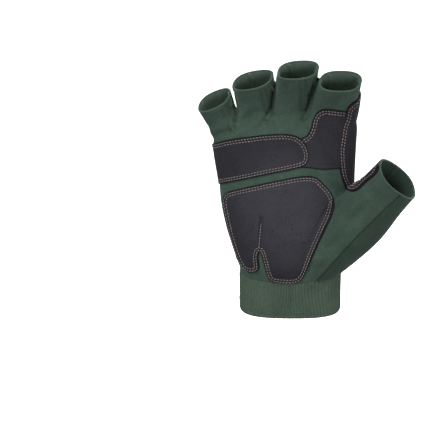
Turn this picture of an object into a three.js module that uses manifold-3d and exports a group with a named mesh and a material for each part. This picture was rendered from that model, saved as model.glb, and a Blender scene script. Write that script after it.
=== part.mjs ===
// Half-finger fishing glove for the right hand, worn open: a hollow cloth form with sewn panels,
// raised palm pads, an elastic cuff and a hook-and-loop wrist strap.
// Millimetres. +Z runs from the wrist to the fingertips, the palm faces -Y, the thumb lies toward +X.
// The origin is the middle of the opening at the bottom of the cuff.
import * as THREE from 'three';
import { mergeVertices } from 'three/addons/utils/BufferGeometryUtils.js';
import Module from 'manifold-3d';

const wasm = await Module();
wasm.setup();

// Driving dimensions
const CUFF_WIDTH = 70.6;
const CUFF_DEPTH = 48;
const CUFF_HEIGHT = 27;
const CUFF_WALL = 2.4;
const PALM_WIDTH = 96;
const PALM_DEPTH = 48;
const PALM_LENGTH = 117;
const FABRIC = 1.7;
const SEAM_GAP = 0.3;
const PAD_THICKNESS = 1.4;
const STRAP_LENGTH = 46;
const STRAP_WIDTH = 29;
const STRAP_THICKNESS = 1.2;
const STRAP_HANG = 3.5;
const STRAP_START = 9;
const HOOK_THICKNESS = 1.2;
const BINDING_WIDTH = 4;
const BINDING_THICKNESS = 1;
const VENT_TAPE_WIDTH = 3.6;
const VENT_TAPE_THICKNESS = 1.1;
const LOOP_WIDTH = 7.6;
const LOOP_THICKNESS = 1.2;
const WIPE_LENGTH = 23;
const VIEW_TILT = THREE.MathUtils.degToRad(18);
const BODY_SIDES = 40;
const FINGER_SIDES = 24;

// Finger tubes. length runs from the root inside the palm to the rim, width and depth are the rim's.
const FINGER_SIZES = {
  index: { length: 49.8, width: 28.4, depth: 19.2 },
  middle: { length: 57.5, width: 27.2, depth: 18 },
  ring: { length: 52.3, width: 26.4, depth: 18.8 },
  little: { length: 46.2, width: 22.8, depth: 18.4 },
};
const THUMB_LENGTH = 95.6;
const THUMB_WIDTH = 34;
const THUMB_DEPTH = 28;

// Palm sections above the cuff: up is a share of the palm length, x and half width of the palm
// width, y and half depth of the palm depth; power squares the oval off.
const PALM_SECTIONS = [
  { up: 0.111, x: -0.003, y: -0.01, halfWidth: 0.394, halfDepth: 0.51, power: 2.3 },
  { up: 0.282, x: -0.014, y: 0, halfWidth: 0.444, halfDepth: 0.5, power: 2.4 },
  { up: 0.453, x: -0.024, y: 0.031, halfWidth: 0.475, halfDepth: 0.458, power: 2.4 },
  { up: 0.624, x: -0.031, y: 0.073, halfWidth: 0.488, halfDepth: 0.396, power: 2.5 },
  { up: 0.795, x: -0.042, y: 0.104, halfWidth: 0.502, halfDepth: 0.344, power: 2.5 },
  { up: 0.906, x: -0.05, y: 0.115, halfWidth: 0.515, halfDepth: 0.302, power: 2.5 },
  { up: 0.99, x: -0.047, y: 0.125, halfWidth: 0.479, halfDepth: 0.208, power: 2.4 },
];

// Finger sections: root is the root's height as a share of the palm length, along a share of the
// finger's length, x of the palm width, y of the palm depth, wide and deep of the rim's half sizes.
const FINGER_SECTIONS = {
  index: {
    root: 0.778, lean: 0.35, across: [1, 0.05, 0.16],
    rows: [
      { along: 0, x: 0.23, y: 0.11, wide: 1.2, deep: 1.15, power: 2.3 },
      { along: 0.542, x: 0.308, y: 0.125, wide: 1.12, deep: 1.25, power: 2.6 },
      { along: 0.763, x: 0.335, y: 0.031, wide: 1.04, deep: 1.15, power: 2.6 },
      { along: 0.954, x: 0.358, y: -0.104, wide: 1, deep: 1, power: 2.6 },
    ],
  },
  middle: {
    root: 0.778, lean: 0.4, across: [1, 0.05, 0.24],
    rows: [
      { along: 0, x: -0.01, y: 0.146, wide: 0.96, deep: 1.44, power: 2.3 },
      { along: 0.504, x: 0.006, y: 0.156, wide: 0.87, deep: 1.33, power: 2.6 },
      { along: 0.748, x: 0.029, y: 0.042, wide: 0.93, deep: 1.17, power: 2.6 },
      { along: 0.965, x: 0.052, y: -0.115, wide: 1, deep: 1, power: 2.6 },
    ],
  },
  ring: {
    root: 0.752, lean: 0.4, across: [1, 0, 0.24],
    rows: [
      { along: 0, x: -0.25, y: 0.146, wide: 0.95, deep: 1.28, power: 2.3 },
      { along: 0.516, x: -0.246, y: 0.167, wide: 0.92, deep: 1.22, power: 2.6 },
      { along: 0.765, x: -0.254, y: 0.083, wide: 0.95, deep: 1.12, power: 2.6 },
      { along: 0.975, x: -0.263, y: -0.042, wide: 1, deep: 1, power: 2.6 },
    ],
  },
  little: {
    root: 0.692, lean: 0.35, across: [1, 0, 0.47],
    rows: [
      { along: 0, x: -0.4, y: 0.14, wide: 0.92, deep: 1.1, power: 2.3 },
      { along: 0.519, x: -0.471, y: 0.177, wide: 0.79, deep: 1.14, power: 2.6 },
      { along: 0.758, x: -0.51, y: 0.125, wide: 0.89, deep: 1.09, power: 2.6 },
      { along: 0.942, x: -0.541, y: 0.031, wide: 1, deep: 1, power: 2.6 },
    ],
  },
};

// Thumb sections, from a root inside the heel of the palm: east, back and up are shares of the
// thumb's length, wide and deep of the rim's half sizes.
const THUMB_ROOT = { x: 0.146, y: -0.083, up: 0.077 };
const THUMB_ACROSS = [0.75, 0.3, -0.55];
const THUMB_SECTIONS = [
  { east: 0, back: 0, up: 0, wide: 1.15, deep: 1.43, power: 2.3 },
  { east: 0.167, back: -0.052, up: 0.178, wide: 1.24, deep: 1.43, power: 2.3 },
  { east: 0.335, back: -0.136, up: 0.366, wide: 1.22, deep: 1.25, power: 2.4 },
  { east: 0.483, back: -0.23, up: 0.565, wide: 1.06, deep: 1.07, power: 2.5 },
  { east: 0.6, back: -0.314, up: 0.732, wide: 1, deep: 1, power: 2.5 },
];

// Side line between palm and back: up in shares of the palm length, y of the palm depth.
const SIDE_SEAM = [
  { up: -0.3, y: 0.006 }, { up: 0.111, y: 0.004 }, { up: 0.282, y: 0.006 }, { up: 0.453, y: 0.031 },
  { up: 0.624, y: 0.073 }, { up: 0.795, y: 0.104 }, { up: 0.906, y: 0.115 }, { up: 1, y: 0.146 },
  { up: 1.1, y: 0.052 }, { up: 1.19, y: -0.083 }, { up: 1.28, y: -0.23 }, { up: 1.6, y: -0.75 },
];

// Pad and panel outlines. x is a share of the palm width, up a share of the palm length above the
// cuff. The palm ones are drawn square to a direction tilted down by VIEW_TILT.
const UPPER_PAD = [
  [-0.6, 0.765], [-0.543, 0.768], [-0.431, 0.788], [-0.302, 0.8], [-0.175, 0.813], [-0.035, 0.818],
  [0.04, 0.807], [0.092, 0.781], [0.123, 0.74], [0.136, 0.693], [0.13, 0.652], [0.098, 0.625],
  [-0.036, 0.6], [-0.175, 0.579], [-0.304, 0.556], [-0.434, 0.535], [-0.503, 0.527], [-0.6, 0.52],
];
const INDEX_PAD = [
  [0.383, 0.948], [0.305, 0.956], [0.236, 0.963], [0.186, 0.942], [0.16, 0.899], [0.146, 0.846],
  [0.121, 0.806], [0.071, 0.788], [0.071, 0.62], [0.128, 0.62], [0.232, 0.608], [0.355, 0.616],
  [0.42, 0.62], [0.42, 0.948],
];
const CROTCH_FRONT = [
  [0.62, 1.04], [0.502, 1.028], [0.458, 1.01], [0.415, 0.98], [0.397, 0.96], [0.386, 0.908],
  [0.365, 0.855], [0.353, 0.785], [0.343, 0.725], [0.346, 0.655], [0.355, 0.593], [0.371, 0.54],
  [0.403, 0.49], [0.436, 0.476], [0.482, 0.49], [0.528, 0.534], [0.591, 0.578], [0.62, 0.636],
  [0.62, 0.75],
];
const CROTCH_BACK = [
  [0.62, 1.15], [0.47, 1.137], [0.423, 1.105], [0.382, 1.013], [0.379, 0.924], [0.395, 0.797],
  [0.407, 0.693], [0.442, 0.61], [0.508, 0.527], [0.558, 0.542], [0.62, 0.6],
];
const HEEL_PAD = [
  [-0.47, 0.467], [-0.435, 0.485], [-0.176, 0.532], [0.066, 0.571], [0.143, 0.573], [0.193, 0.563],
  [0.232, 0.532], [0.284, 0.485], [0.316, 0.432], [0.32, 0.396], [0.3, 0.34], [0.256, 0.266],
  [0.207, 0.18], [0.169, 0.106], [0.131, 0.029], [0.1, -0.026], [0.068, -0.057], [0.015, -0.07],
  [-0.114, -0.064], [-0.153, -0.043], [-0.172, -0.003], [-0.191, 0.05], [-0.204, 0.104],
  [-0.223, 0.148], [-0.231, 0.124], [-0.251, 0.004], [-0.298, -0.003], [-0.345, 0.015],
  [-0.379, 0.062], [-0.405, 0.127], [-0.437, 0.215], [-0.461, 0.302], [-0.479, 0.377], [-0.487, 0.431],
];
const THUMB_SEAM = [
  [0.84, 0.54], [0.729, 0.447], [0.627, 0.36], [0.507, 0.254], [0.385, 0.14], [0.288, 0.041],
  [0.204, -0.04], [0.16, -0.09], [0.16, -0.5], [1.4, -0.5], [1.4, 0.54],
];
const THUMB_BACK = [
  [0.416, -0.3], [0.421, 0.212], [0.43, 0.256], [0.447, 0.356], [0.468, 0.457], [0.468, 0.61],
  [0.5, 0.64], [1.4, 1.4], [1.4, -0.3],
];
const VENT_TAPES = [
  [[-0.428, 0.262], [-0.35, 0.19], [-0.318, 0.103], [-0.297, 0.012]],
  [[-0.44, 0.262], [-0.415, 0.17], [-0.385, 0.1], [-0.362, 0.012]],
];

// Strip between two fingers, at a low height and a high one: left and right are its sides at mid
// depth as shares of the palm width, y that depth, slant how far both sides lean to the thumb.
const FOURCHETTES = {
  index_middle: [
    { up: 0.96, left: 0.122, right: 0.15, y: 0.135, slant: 0.3 },
    { up: 1.265, left: 0.15, right: 0.25, y: -0.104, slant: 0.62 },
  ],
  middle_ring: [
    { up: 0.96, left: -0.14, right: -0.108, y: 0.16, slant: 0.3 },
    { up: 1.265, left: -0.155, right: -0.052, y: -0.09, slant: 0.65 },
  ],
  ring_little: [
    { up: 0.89, left: -0.384, right: -0.352, y: 0.17, slant: 0.3 },
    { up: 1.137, left: -0.455, right: -0.352, y: -0.02, slant: 0.6 },
  ],
};

const palmUp = (share) => CUFF_HEIGHT + share * PALM_LENGTH;
const vector = (array) => new THREE.Vector3(...array);

// One oval ring of points round a centre; lean shifts the dorsal half sideways.
function ovalRing({ centre, across, axis, halfWidth, halfDepth, power, lean = 0, sides }) {
  const x = across.clone().addScaledVector(axis, -across.dot(axis)).normalize();
  const y = new THREE.Vector3().crossVectors(axis, x);
  const points = [];
  for (let i = 0; i < sides; i += 1) {
    const angle = (2 * Math.PI * i) / sides;
    const c = Math.cos(angle);
    const s = Math.sin(angle);
    const u = Math.sign(c) * Math.abs(c) ** (2 / power) * halfWidth;
    const w = Math.sign(s) * Math.abs(s) ** (2 / power) * halfDepth;
    points.push(centre.clone().addScaledVector(x, u + lean * w).addScaledVector(y, w));
  }
  return points;
}

// A closed solid from triangles given as a flat list of vertices.
function solidFrom(geometry) {
  const bare = geometry.index ? geometry.toNonIndexed() : geometry.clone();
  bare.deleteAttribute('normal');
  bare.deleteAttribute('uv');
  const merged = mergeVertices(bare, 1e-4);
  const mesh = new wasm.Mesh({
    numProp: 3,
    vertProperties: new Float32Array(merged.attributes.position.array),
    triVerts: new Uint32Array(merged.index.array),
  });
  return new wasm.Manifold(mesh);
}

// Closed loft through rings with equally many points, capped at both ends.
function loft(rings) {
  const triangles = [];
  const push = (...points) => points.forEach((p) => triangles.push(p.x, p.y, p.z));
  const middle = (ring) => ring.reduce((sum, p) => sum.add(p), new THREE.Vector3()).divideScalar(ring.length);
  for (let r = 0; r + 1 < rings.length; r += 1) {
    rings[r].forEach((a, i) => {
      const j = (i + 1) % rings[r].length;
      push(a, rings[r][j], rings[r + 1][j]);
      push(a, rings[r + 1][j], rings[r + 1][i]);
    });
  }
  const first = rings[0];
  const last = rings[rings.length - 1];
  const firstMiddle = middle(first);
  const lastMiddle = middle(last);
  first.forEach((a, i) => push(first[(i + 1) % first.length], a, firstMiddle));
  last.forEach((a, i) => push(a, last[(i + 1) % last.length], lastMiddle));
  const geometry = new THREE.BufferGeometry();
  geometry.setAttribute('position', new THREE.Float32BufferAttribute(triangles, 3));
  return solidFrom(geometry);
}

// Rings of a bent tube. grow widens every ring, stretch lengthens the rim end.
function tubeRings(rows, across, lean, sides, grow, stretch) {
  return rows.map((row, i) => {
    const before = rows[Math.max(i - 1, 0)].centre;
    const after = rows[Math.min(i + 1, rows.length - 1)].centre;
    const axis = after.clone().sub(before).normalize();
    const centre = row.centre.clone();
    if (i === rows.length - 1) centre.addScaledVector(axis, stretch);
    return ovalRing({
      centre, across: vector(across), axis, sides, lean: i === 0 ? 0 : lean,
      halfWidth: row.halfWidth + grow, halfDepth: row.halfDepth + grow, power: row.power,
    });
  });
}

function fingerRows(name) {
  const size = FINGER_SIZES[name];
  const table = FINGER_SECTIONS[name];
  return table.rows.map((row) => ({
    centre: new THREE.Vector3(
      row.x * PALM_WIDTH,
      row.y * PALM_DEPTH,
      palmUp(table.root) + row.along * size.length,
    ),
    halfWidth: (row.wide * size.width) / 2,
    halfDepth: (row.deep * size.depth) / 2,
    power: row.power,
  }));
}

function thumbRows() {
  return THUMB_SECTIONS.map((row) => ({
    centre: new THREE.Vector3(
      THUMB_ROOT.x * PALM_WIDTH + row.east * THUMB_LENGTH,
      THUMB_ROOT.y * PALM_DEPTH + row.back * THUMB_LENGTH,
      palmUp(THUMB_ROOT.up) + row.up * THUMB_LENGTH,
    ),
    halfWidth: (row.wide * THUMB_WIDTH) / 2,
    halfDepth: (row.deep * THUMB_DEPTH) / 2,
    power: row.power,
  }));
}

function cuffRing(z, grow) {
  return ovalRing({
    centre: new THREE.Vector3(0, 0, z), across: vector([1, 0, 0]), axis: vector([0, 0, 1]),
    halfWidth: CUFF_WIDTH / 2 + grow, halfDepth: CUFF_DEPTH / 2 + grow, power: 2.2, sides: BODY_SIDES,
  });
}

function palmSolid(grow, stretch) {
  const rings = [cuffRing(CUFF_HEIGHT - stretch, grow)];
  PALM_SECTIONS.forEach((row, i) => {
    const top = i === PALM_SECTIONS.length - 1 ? Math.min(grow, 0) : 0;
    rings.push(ovalRing({
      centre: new THREE.Vector3(row.x * PALM_WIDTH, row.y * PALM_DEPTH, palmUp(row.up) + top),
      across: vector([1, 0, 0]), axis: vector([0, 0, 1]), power: row.power, sides: BODY_SIDES,
      halfWidth: row.halfWidth * PALM_WIDTH + grow, halfDepth: row.halfDepth * PALM_DEPTH + grow,
    }));
  });
  return loft(rings);
}

function fingerSolid(name, grow, stretch) {
  const { across, lean } = FINGER_SECTIONS[name];
  return loft(tubeRings(fingerRows(name), across, lean, FINGER_SIDES, grow, stretch));
}

// The whole hand form, grown by an allowance and stretched past its openings.
function handForm(grow, stretch) {
  let form = palmSolid(grow, stretch);
  Object.keys(FINGER_SECTIONS).forEach((name) => {
    form = form.add(fingerSolid(name, grow, stretch));
  });
  return form.add(loft(tubeRings(thumbRows(), THUMB_ACROSS, 0, FINGER_SIDES, grow, stretch)));
}

// Prism of an outline in a plane spanned by the X axis and a second direction.
function prism(points, tilt, near = -150, far = 150) {
  const shape = new THREE.Shape(points.map(([x, y]) => new THREE.Vector2(x, y)));
  const geometry = new THREE.ExtrudeGeometry(shape, { depth: far - near, bevelEnabled: false });
  const up = new THREE.Vector3(0, Math.sin(tilt), Math.cos(tilt));
  const out = new THREE.Vector3(0, -Math.cos(tilt), Math.sin(tilt));
  const frame = new THREE.Matrix4().makeBasis(new THREE.Vector3(1, 0, 0), up, out);
  geometry.translate(0, 0, near);
  geometry.applyMatrix4(frame);
  return solidFrom(geometry);
}

// An outline moved outward (or inward) by a distance, corner by corner.
function widen(points, distance) {
  const area = points.reduce((sum, [x, y], i) => {
    const [x2, y2] = points[(i + 1) % points.length];
    return sum + x * y2 - x2 * y;
  }, 0);
  const side = Math.sign(area) * distance;
  return points.map(([x, y], i) => {
    const [ax, ay] = points[(i + points.length - 1) % points.length];
    const [bx, by] = points[(i + 1) % points.length];
    const first = new THREE.Vector2(y - ay, ax - x).normalize();
    const second = new THREE.Vector2(by - y, x - bx).normalize();
    const bisector = first.clone().add(second).normalize();
    const reach = side / Math.max(bisector.dot(first), 0.5);
    return [x + bisector.x * reach, y + bisector.y * reach];
  });
}

const scaled = (outline) => outline.map(([x, up]) => [x * PALM_WIDTH, palmUp(up)]);

// Outline across the tilted direction: its height is the upright height seen at that tilt.
const tilted = (outline) => outline.map(([x, up]) => [
  x * PALM_WIDTH,
  CUFF_HEIGHT * Math.cos(VIEW_TILT) + up * PALM_LENGTH,
]);

// Everything on the palm side of the side line, moved back by an allowance.
function palmHalf(allowance) {
  const points = SIDE_SEAM.map(({ up, y }) => [y * PALM_DEPTH + allowance, palmUp(up)]);
  points.push([-200, palmUp(1.6)], [-200, palmUp(-0.3)]);
  const shape = new THREE.Shape(points.map(([y, z]) => new THREE.Vector2(y, z)));
  const geometry = new THREE.ExtrudeGeometry(shape, { depth: 300, bevelEnabled: false });
  geometry.translate(0, 0, -150);
  geometry.applyMatrix4(new THREE.Matrix4().makeBasis(vector([0, 1, 0]), vector([0, 0, 1]), vector([1, 0, 0])));
  return solidFrom(geometry);
}

// Block on the dorsal side of the thumb, from a distance below the rim outward: a box in the
// thumb's own directions that starts at its middle plane.
function thumbBlock(below, fromSide, toSide, lift, slope = 0) {
  const rows = thumbRows();
  const rim = rows[rows.length - 1].centre;
  const axis = rim.clone().sub(rows[rows.length - 3].centre).normalize();
  const x = vector(THUMB_ACROSS);
  x.addScaledVector(axis, -x.dot(axis)).normalize();
  const y = new THREE.Vector3().crossVectors(axis, x);
  const corner = (u, w, t) => rim.clone().addScaledVector(x, u).addScaledVector(y, w).addScaledVector(axis, t);
  const beyond = THUMB_DEPTH * 0.4;
  const ring = (w) => [
    corner(fromSide, w, -below + slope),
    corner(toSide, w, -below - slope),
    corner(toSide, w, beyond),
    corner(fromSide, w, beyond),
  ];
  return loft([ring(THUMB_DEPTH * 0.9), ring(lift)]);
}

// Wedge between two fingers that their side strip is cut from
function fourchetteSolid([low, high], allowance) {
  const near = -45;
  const far = 45;
  const ring = ({ up, left, right, y, slant }, drop) => {
    const side = (share, depth) => share * PALM_WIDTH + (depth - y * PALM_DEPTH) * slant;
    return [
      new THREE.Vector3(side(left, near) - allowance, near, palmUp(up) - drop),
      new THREE.Vector3(side(right, near) + allowance, near, palmUp(up) - drop),
      new THREE.Vector3(side(right, far) + allowance, far, palmUp(up) - drop),
      new THREE.Vector3(side(left, far) - allowance, far, palmUp(up) - drop),
    ];
  };
  return loft([ring(low, allowance), ring(high, -allowance)]);
}

// Strip of a given width along a short path, as an outline.
function strip(path, width) {
  const left = [];
  const right = [];
  path.forEach(([x, y], i) => {
    const [ax, ay] = path[Math.max(i - 1, 0)];
    const [bx, by] = path[Math.min(i + 1, path.length - 1)];
    const normal = new THREE.Vector2(ay - by, bx - ax).normalize().multiplyScalar(width / 2);
    left.push([x + normal.x, y + normal.y]);
    right.unshift([x - normal.x, y - normal.y]);
  });
  return [...left, ...right];
}

const group = new THREE.Group();
function addPiece(name, solid, color, roughness) {
  const { numProp, vertProperties, triVerts } = solid.getMesh();
  const positions = new Float32Array((vertProperties.length / numProp) * 3);
  for (let i = 0; i < positions.length / 3; i += 1) {
    positions.set(vertProperties.subarray(i * numProp, i * numProp + 3), i * 3);
  }
  const geometry = new THREE.BufferGeometry();
  geometry.setAttribute('position', new THREE.BufferAttribute(positions, 3));
  geometry.setIndex(new THREE.BufferAttribute(new Uint32Array(triVerts), 1));
  geometry.computeVertexNormals();
  const material = new THREE.MeshStandardMaterial({ color, roughness, metalness: 0 });
  const mesh = new THREE.Mesh(geometry, material);
  mesh.name = name;
  group.add(mesh);
}

const SUEDE = '#3b4f45';
const SUEDE_DARK = '#2a3932';
const RIBBED_KNIT = '#2c3b34';
const BLACK_LEATHER = '#38373c';
const TERRY = '#1c1b20';
const ELASTIC = '#445549';
const TAPE = '#445045';
const HOOK = '#17161b';
const RIBBON = '#302f36';

// The cloth shell, open at the wrist and at every rim, and its panels
const outer = handForm(0, 0);
const cavity = handForm(-FABRIC, 6);
let shell = outer.subtract(cavity);
const lowest = palmUp(0) + SEAM_GAP;
shell = shell.intersect(prism([[-150, lowest], [150, lowest], [150, 400], [-150, 400]], 0));

const innerSide = -THUMB_WIDTH * 0.7;
const wipeSide = THUMB_WIDTH * 0.06;
const wipeSlope = 2.4;
const wipeBlock = thumbBlock(WIPE_LENGTH, innerSide, wipeSide, 0, wipeSlope);
const wipeClear = thumbBlock(WIPE_LENGTH + SEAM_GAP, innerSide, wipeSide + SEAM_GAP, -SEAM_GAP, wipeSlope);
addPiece('thumb_wipe_panel', shell.intersect(wipeBlock), TERRY, 0.95);
shell = shell.subtract(wipeClear);

function thumbBackRegion(allowance) {
  const seamSide = prism(widen(tilted(THUMB_SEAM), allowance), VIEW_TILT)
    .intersect(palmHalf(SEAM_GAP + allowance));
  const backSide = prism(widen(scaled(THUMB_BACK), allowance), 0)
    .intersect(thumbBlock(THUMB_LENGTH * 0.75, -THUMB_WIDTH, THUMB_WIDTH, -allowance));
  return seamSide.add(backSide);
}
addPiece('thumb_back_panel', shell.intersect(thumbBackRegion(0)), SUEDE_DARK, 0.9);
shell = shell.subtract(thumbBackRegion(SEAM_GAP));

Object.entries(FOURCHETTES).forEach(([name, row]) => {
  addPiece(`fourchette_${name}`, shell.intersect(fourchetteSolid(row, 0)), SUEDE, 0.9);
  shell = shell.subtract(fourchetteSolid(row, SEAM_GAP));
});

addPiece('palm_panel', shell.intersect(palmHalf(0)), SUEDE, 0.9);
addPiece('back_panel', shell.subtract(palmHalf(SEAM_GAP)), RIBBED_KNIT, 0.92);

// Pads sewn over the palm
const padUnder = handForm(SEAM_GAP, 0);
const padLayer = handForm(SEAM_GAP + PAD_THICKNESS, 0).subtract(padUnder);
const palmFace = palmHalf(-SEAM_GAP);
addPiece('upper_palm_pad', padLayer.intersect(prism(tilted(UPPER_PAD), VIEW_TILT)).intersect(palmFace),
  BLACK_LEATHER, 0.6);
addPiece('heel_pad', padLayer.intersect(prism(tilted(HEEL_PAD), VIEW_TILT)).intersect(palmFace),
  BLACK_LEATHER, 0.6);

function crotchRegion(allowance) {
  const front = prism(widen(tilted(CROTCH_FRONT), allowance), VIEW_TILT).intersect(palmHalf(0.1));
  const back = prism(widen(scaled(CROTCH_BACK), allowance), 0).subtract(palmHalf(0));
  const thumbBackFace = loft(tubeRings(thumbRows(), THUMB_ACROSS, 0, FINGER_SIDES, PAD_THICKNESS * 2, 4))
    .intersect(thumbBlock(WIPE_LENGTH, innerSide, THUMB_WIDTH, -SEAM_GAP, wipeSlope));
  return front.add(back).subtract(thumbBackFace);
}
addPiece('thumb_crotch_pad', padLayer.intersect(crotchRegion(0)), BLACK_LEATHER, 0.6);
const indexPad = padLayer.intersect(prism(tilted(INDEX_PAD), VIEW_TILT)).intersect(palmFace)
  .subtract(prism(widen(tilted(UPPER_PAD), SEAM_GAP), VIEW_TILT))
  .subtract(crotchRegion(SEAM_GAP));
addPiece('index_pad', indexPad, BLACK_LEATHER, 0.6);

// Inverted V of tape round the vent above the strap, on the back
const ventLayer = handForm(SEAM_GAP + VENT_TAPE_THICKNESS, 0).subtract(padUnder);
const [leftTape, rightTape] = VENT_TAPES.map((path) => prism(strip(scaled(path), VENT_TAPE_WIDTH), 0));
const ventTape = ventLayer.intersect(leftTape.add(rightTape)).subtract(palmHalf(SEAM_GAP))
  .subtract(prism([[-150, -50], [150, -50], [150, lowest], [-150, lowest]], 0));
addPiece('vent_binding', ventTape, TAPE, 0.85);

// Ribbon loops across the backs of two fingers
function pullLoop(finger, low, high) {
  const layer = fingerSolid(finger, SEAM_GAP + LOOP_THICKNESS, 0).subtract(padUnder);
  const path = [[low.x * PALM_WIDTH, palmUp(low.up)], [high.x * PALM_WIDTH, palmUp(high.up)]];
  return layer.intersect(prism(strip(path, LOOP_WIDTH), 0)).subtract(palmHalf(SEAM_GAP));
}
addPiece('middle_pull_loop', pullLoop('middle', { x: -0.01, up: 1.188 }, { x: 0.2, up: 1.17 }), RIBBON, 0.7);
addPiece('ring_pull_loop', pullLoop('ring', { x: -0.268, up: 1.117 }, { x: -0.04, up: 1.139 }), RIBBON, 0.7);

// Cuff and strap
const cuffOuter = loft([cuffRing(0, 0), cuffRing(CUFF_HEIGHT - SEAM_GAP, 0)]);
const cuffInner = loft([cuffRing(-6, -CUFF_WALL), cuffRing(CUFF_HEIGHT + 6, -CUFF_WALL)]);
addPiece('cuff_band', cuffOuter.subtract(cuffInner), ELASTIC, 0.9);

// Strap outline: x from the fixed end toward the tab in shares of its length, up in shares of its
// width. The tab end is rounded and hangs below the cuff.
const STRAP_OUTLINE = [
  [-0.1, 0.932], [0.03, 0.948], [0.17, 0.98], [0.35, 1.0], [0.7, 0.975], [0.87, 0.9], [0.97, 0.72],
  [1, 0.46], [0.97, 0.2], [0.9, 0.06], [0.81, 0.007], [0.6, 0], [0.28, 0.017], [0.08, 0.07], [-0.1, 0.145],
];
const strapLeft = -CUFF_WIDTH / 2 - 0.8;
const strapPoints = STRAP_OUTLINE.map(([along, up]) => [
  strapLeft + along * STRAP_LENGTH,
  -STRAP_HANG + up * STRAP_WIDTH,
]);
function strapLayer(under, over, outline) {
  const wrap = loft([cuffRing(-20, over), cuffRing(CUFF_HEIGHT + 20, over)]);
  const core = loft([cuffRing(-30, under), cuffRing(CUFF_HEIGHT + 30, under)]);
  return wrap.subtract(core).intersect(prism(outline, 0, -150, -STRAP_START));
}
const strapTop = SEAM_GAP + STRAP_THICKNESS;
addPiece('wrist_strap', strapLayer(SEAM_GAP, strapTop, strapPoints), ELASTIC, 0.9);
const faceUnder = strapTop + SEAM_GAP;
const panelOutline = widen(strapPoints, -BINDING_WIDTH).map(([x, z], i, all) => (
  i === 0 || i === all.length - 1 ? [strapLeft - 0.1 * STRAP_LENGTH, z] : [x, z]
));
addPiece('strap_hook_panel', strapLayer(faceUnder, faceUnder + HOOK_THICKNESS, panelOutline), HOOK, 1);
const bindingHole = widen(panelOutline, SEAM_GAP)
  .map(([x, z], i, all) => (i === 0 || i === all.length - 1 ? [x - 20, z] : [x, z]));
const binding = strapLayer(faceUnder, faceUnder + BINDING_THICKNESS, strapPoints)
  .subtract(prism(bindingHole, 0));
addPiece('strap_binding', binding, TAPE, 0.85);

export default group;
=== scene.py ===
"""Half-finger fishing glove: ribbed knit back, suede palm with black grained pads, elastic cuff."""
import math
import bpy
import numpy as np
from mathutils import Matrix, Vector, kdtree
from mathutils.bvhtree import BVHTree


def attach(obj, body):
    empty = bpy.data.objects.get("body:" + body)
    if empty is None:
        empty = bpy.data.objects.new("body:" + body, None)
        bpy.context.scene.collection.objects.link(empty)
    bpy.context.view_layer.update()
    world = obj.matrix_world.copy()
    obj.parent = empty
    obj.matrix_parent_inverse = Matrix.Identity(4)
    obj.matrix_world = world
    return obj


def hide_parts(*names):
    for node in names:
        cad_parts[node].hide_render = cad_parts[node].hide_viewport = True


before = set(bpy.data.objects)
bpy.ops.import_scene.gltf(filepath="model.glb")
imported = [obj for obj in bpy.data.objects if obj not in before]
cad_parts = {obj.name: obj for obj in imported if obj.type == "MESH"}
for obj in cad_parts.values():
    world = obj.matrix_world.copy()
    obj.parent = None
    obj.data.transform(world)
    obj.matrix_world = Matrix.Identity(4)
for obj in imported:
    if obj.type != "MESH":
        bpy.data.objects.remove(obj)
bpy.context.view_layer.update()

MM = 0.001
# the camera looks down on the glove by this angle, and the palm's outlines are drawn square to it
TILT = math.radians(18)

# sizes of the glove, in millimetres
CUFF_WIDTH, CUFF_DEPTH, CUFF_HEIGHT = 71.6, 48.0, 27.0
CLOTH_WALL = 1.1
WIPE_LENGTH = 23.0
THUMB_RIM_SLANT = 0.2
PALM_MIDDLE = (-2, -24, 82)
# a pad's section: radius of its edge, height at its foot, and where its filled middle begins
PAD_EDGE_RADIUS, PAD_FOOT = 1.1, 0.25
PUFF_START, PUFF_SPREAD = 4.2, 5.0
# seam between two panels: depth and width of its groove, then of the ridge beside it
SEAM_DEPTH, SEAM_WIDTH = 0.95, 0.75
RIDGE_HEIGHT, RIDGE_WIDTH, RIDGE_PLACE = 0.16, 1.0, 1.9
TERRY_PILE = 0.5
HEM_HALF_WIDTH, HEM_HALF_HEIGHT = 0.46, 0.72
# stitch rows: distance in from a pad's edge
STITCH_ROWS = (1.4, 3.1)
STITCH_PITCH, STITCH_LENGTH, THREAD_RADIUS = 2.1, 1.4, 0.25
# spacing of the points on the skin
SKIN_STEP = 0.78
# fingers are made this much too long and then cut at the rim
FINGER_EXCESS = 7.0
# more than any distance on the glove
FAR = 1e9

# palm sections: height, centre x, centre y, half width, half depth, squareness
PALM_SECTIONS = [
    (10.0, 0.0, 0.0, 35.8, 23.9, 2.2),
    (27.0, 0.0, 0.0, 35.9, 23.9, 2.2),
    (40.0, -0.8, -0.5, 38.3, 24.5, 2.3),
    (60.0, -1.7, 0.0, 43.1, 24.0, 2.4),
    (80.0, -2.6, 1.5, 46.0, 22.0, 2.4),
    (100.0, -3.0, 3.5, 46.8, 19.0, 2.5),
    (120.0, -4.3, 5.0, 48.8, 16.5, 2.5),
    (133.0, -5.2, 5.5, 50.0, 14.5, 2.5),
    (142.8, -4.5, 6.0, 46.0, 10.0, 2.4),
]
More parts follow.
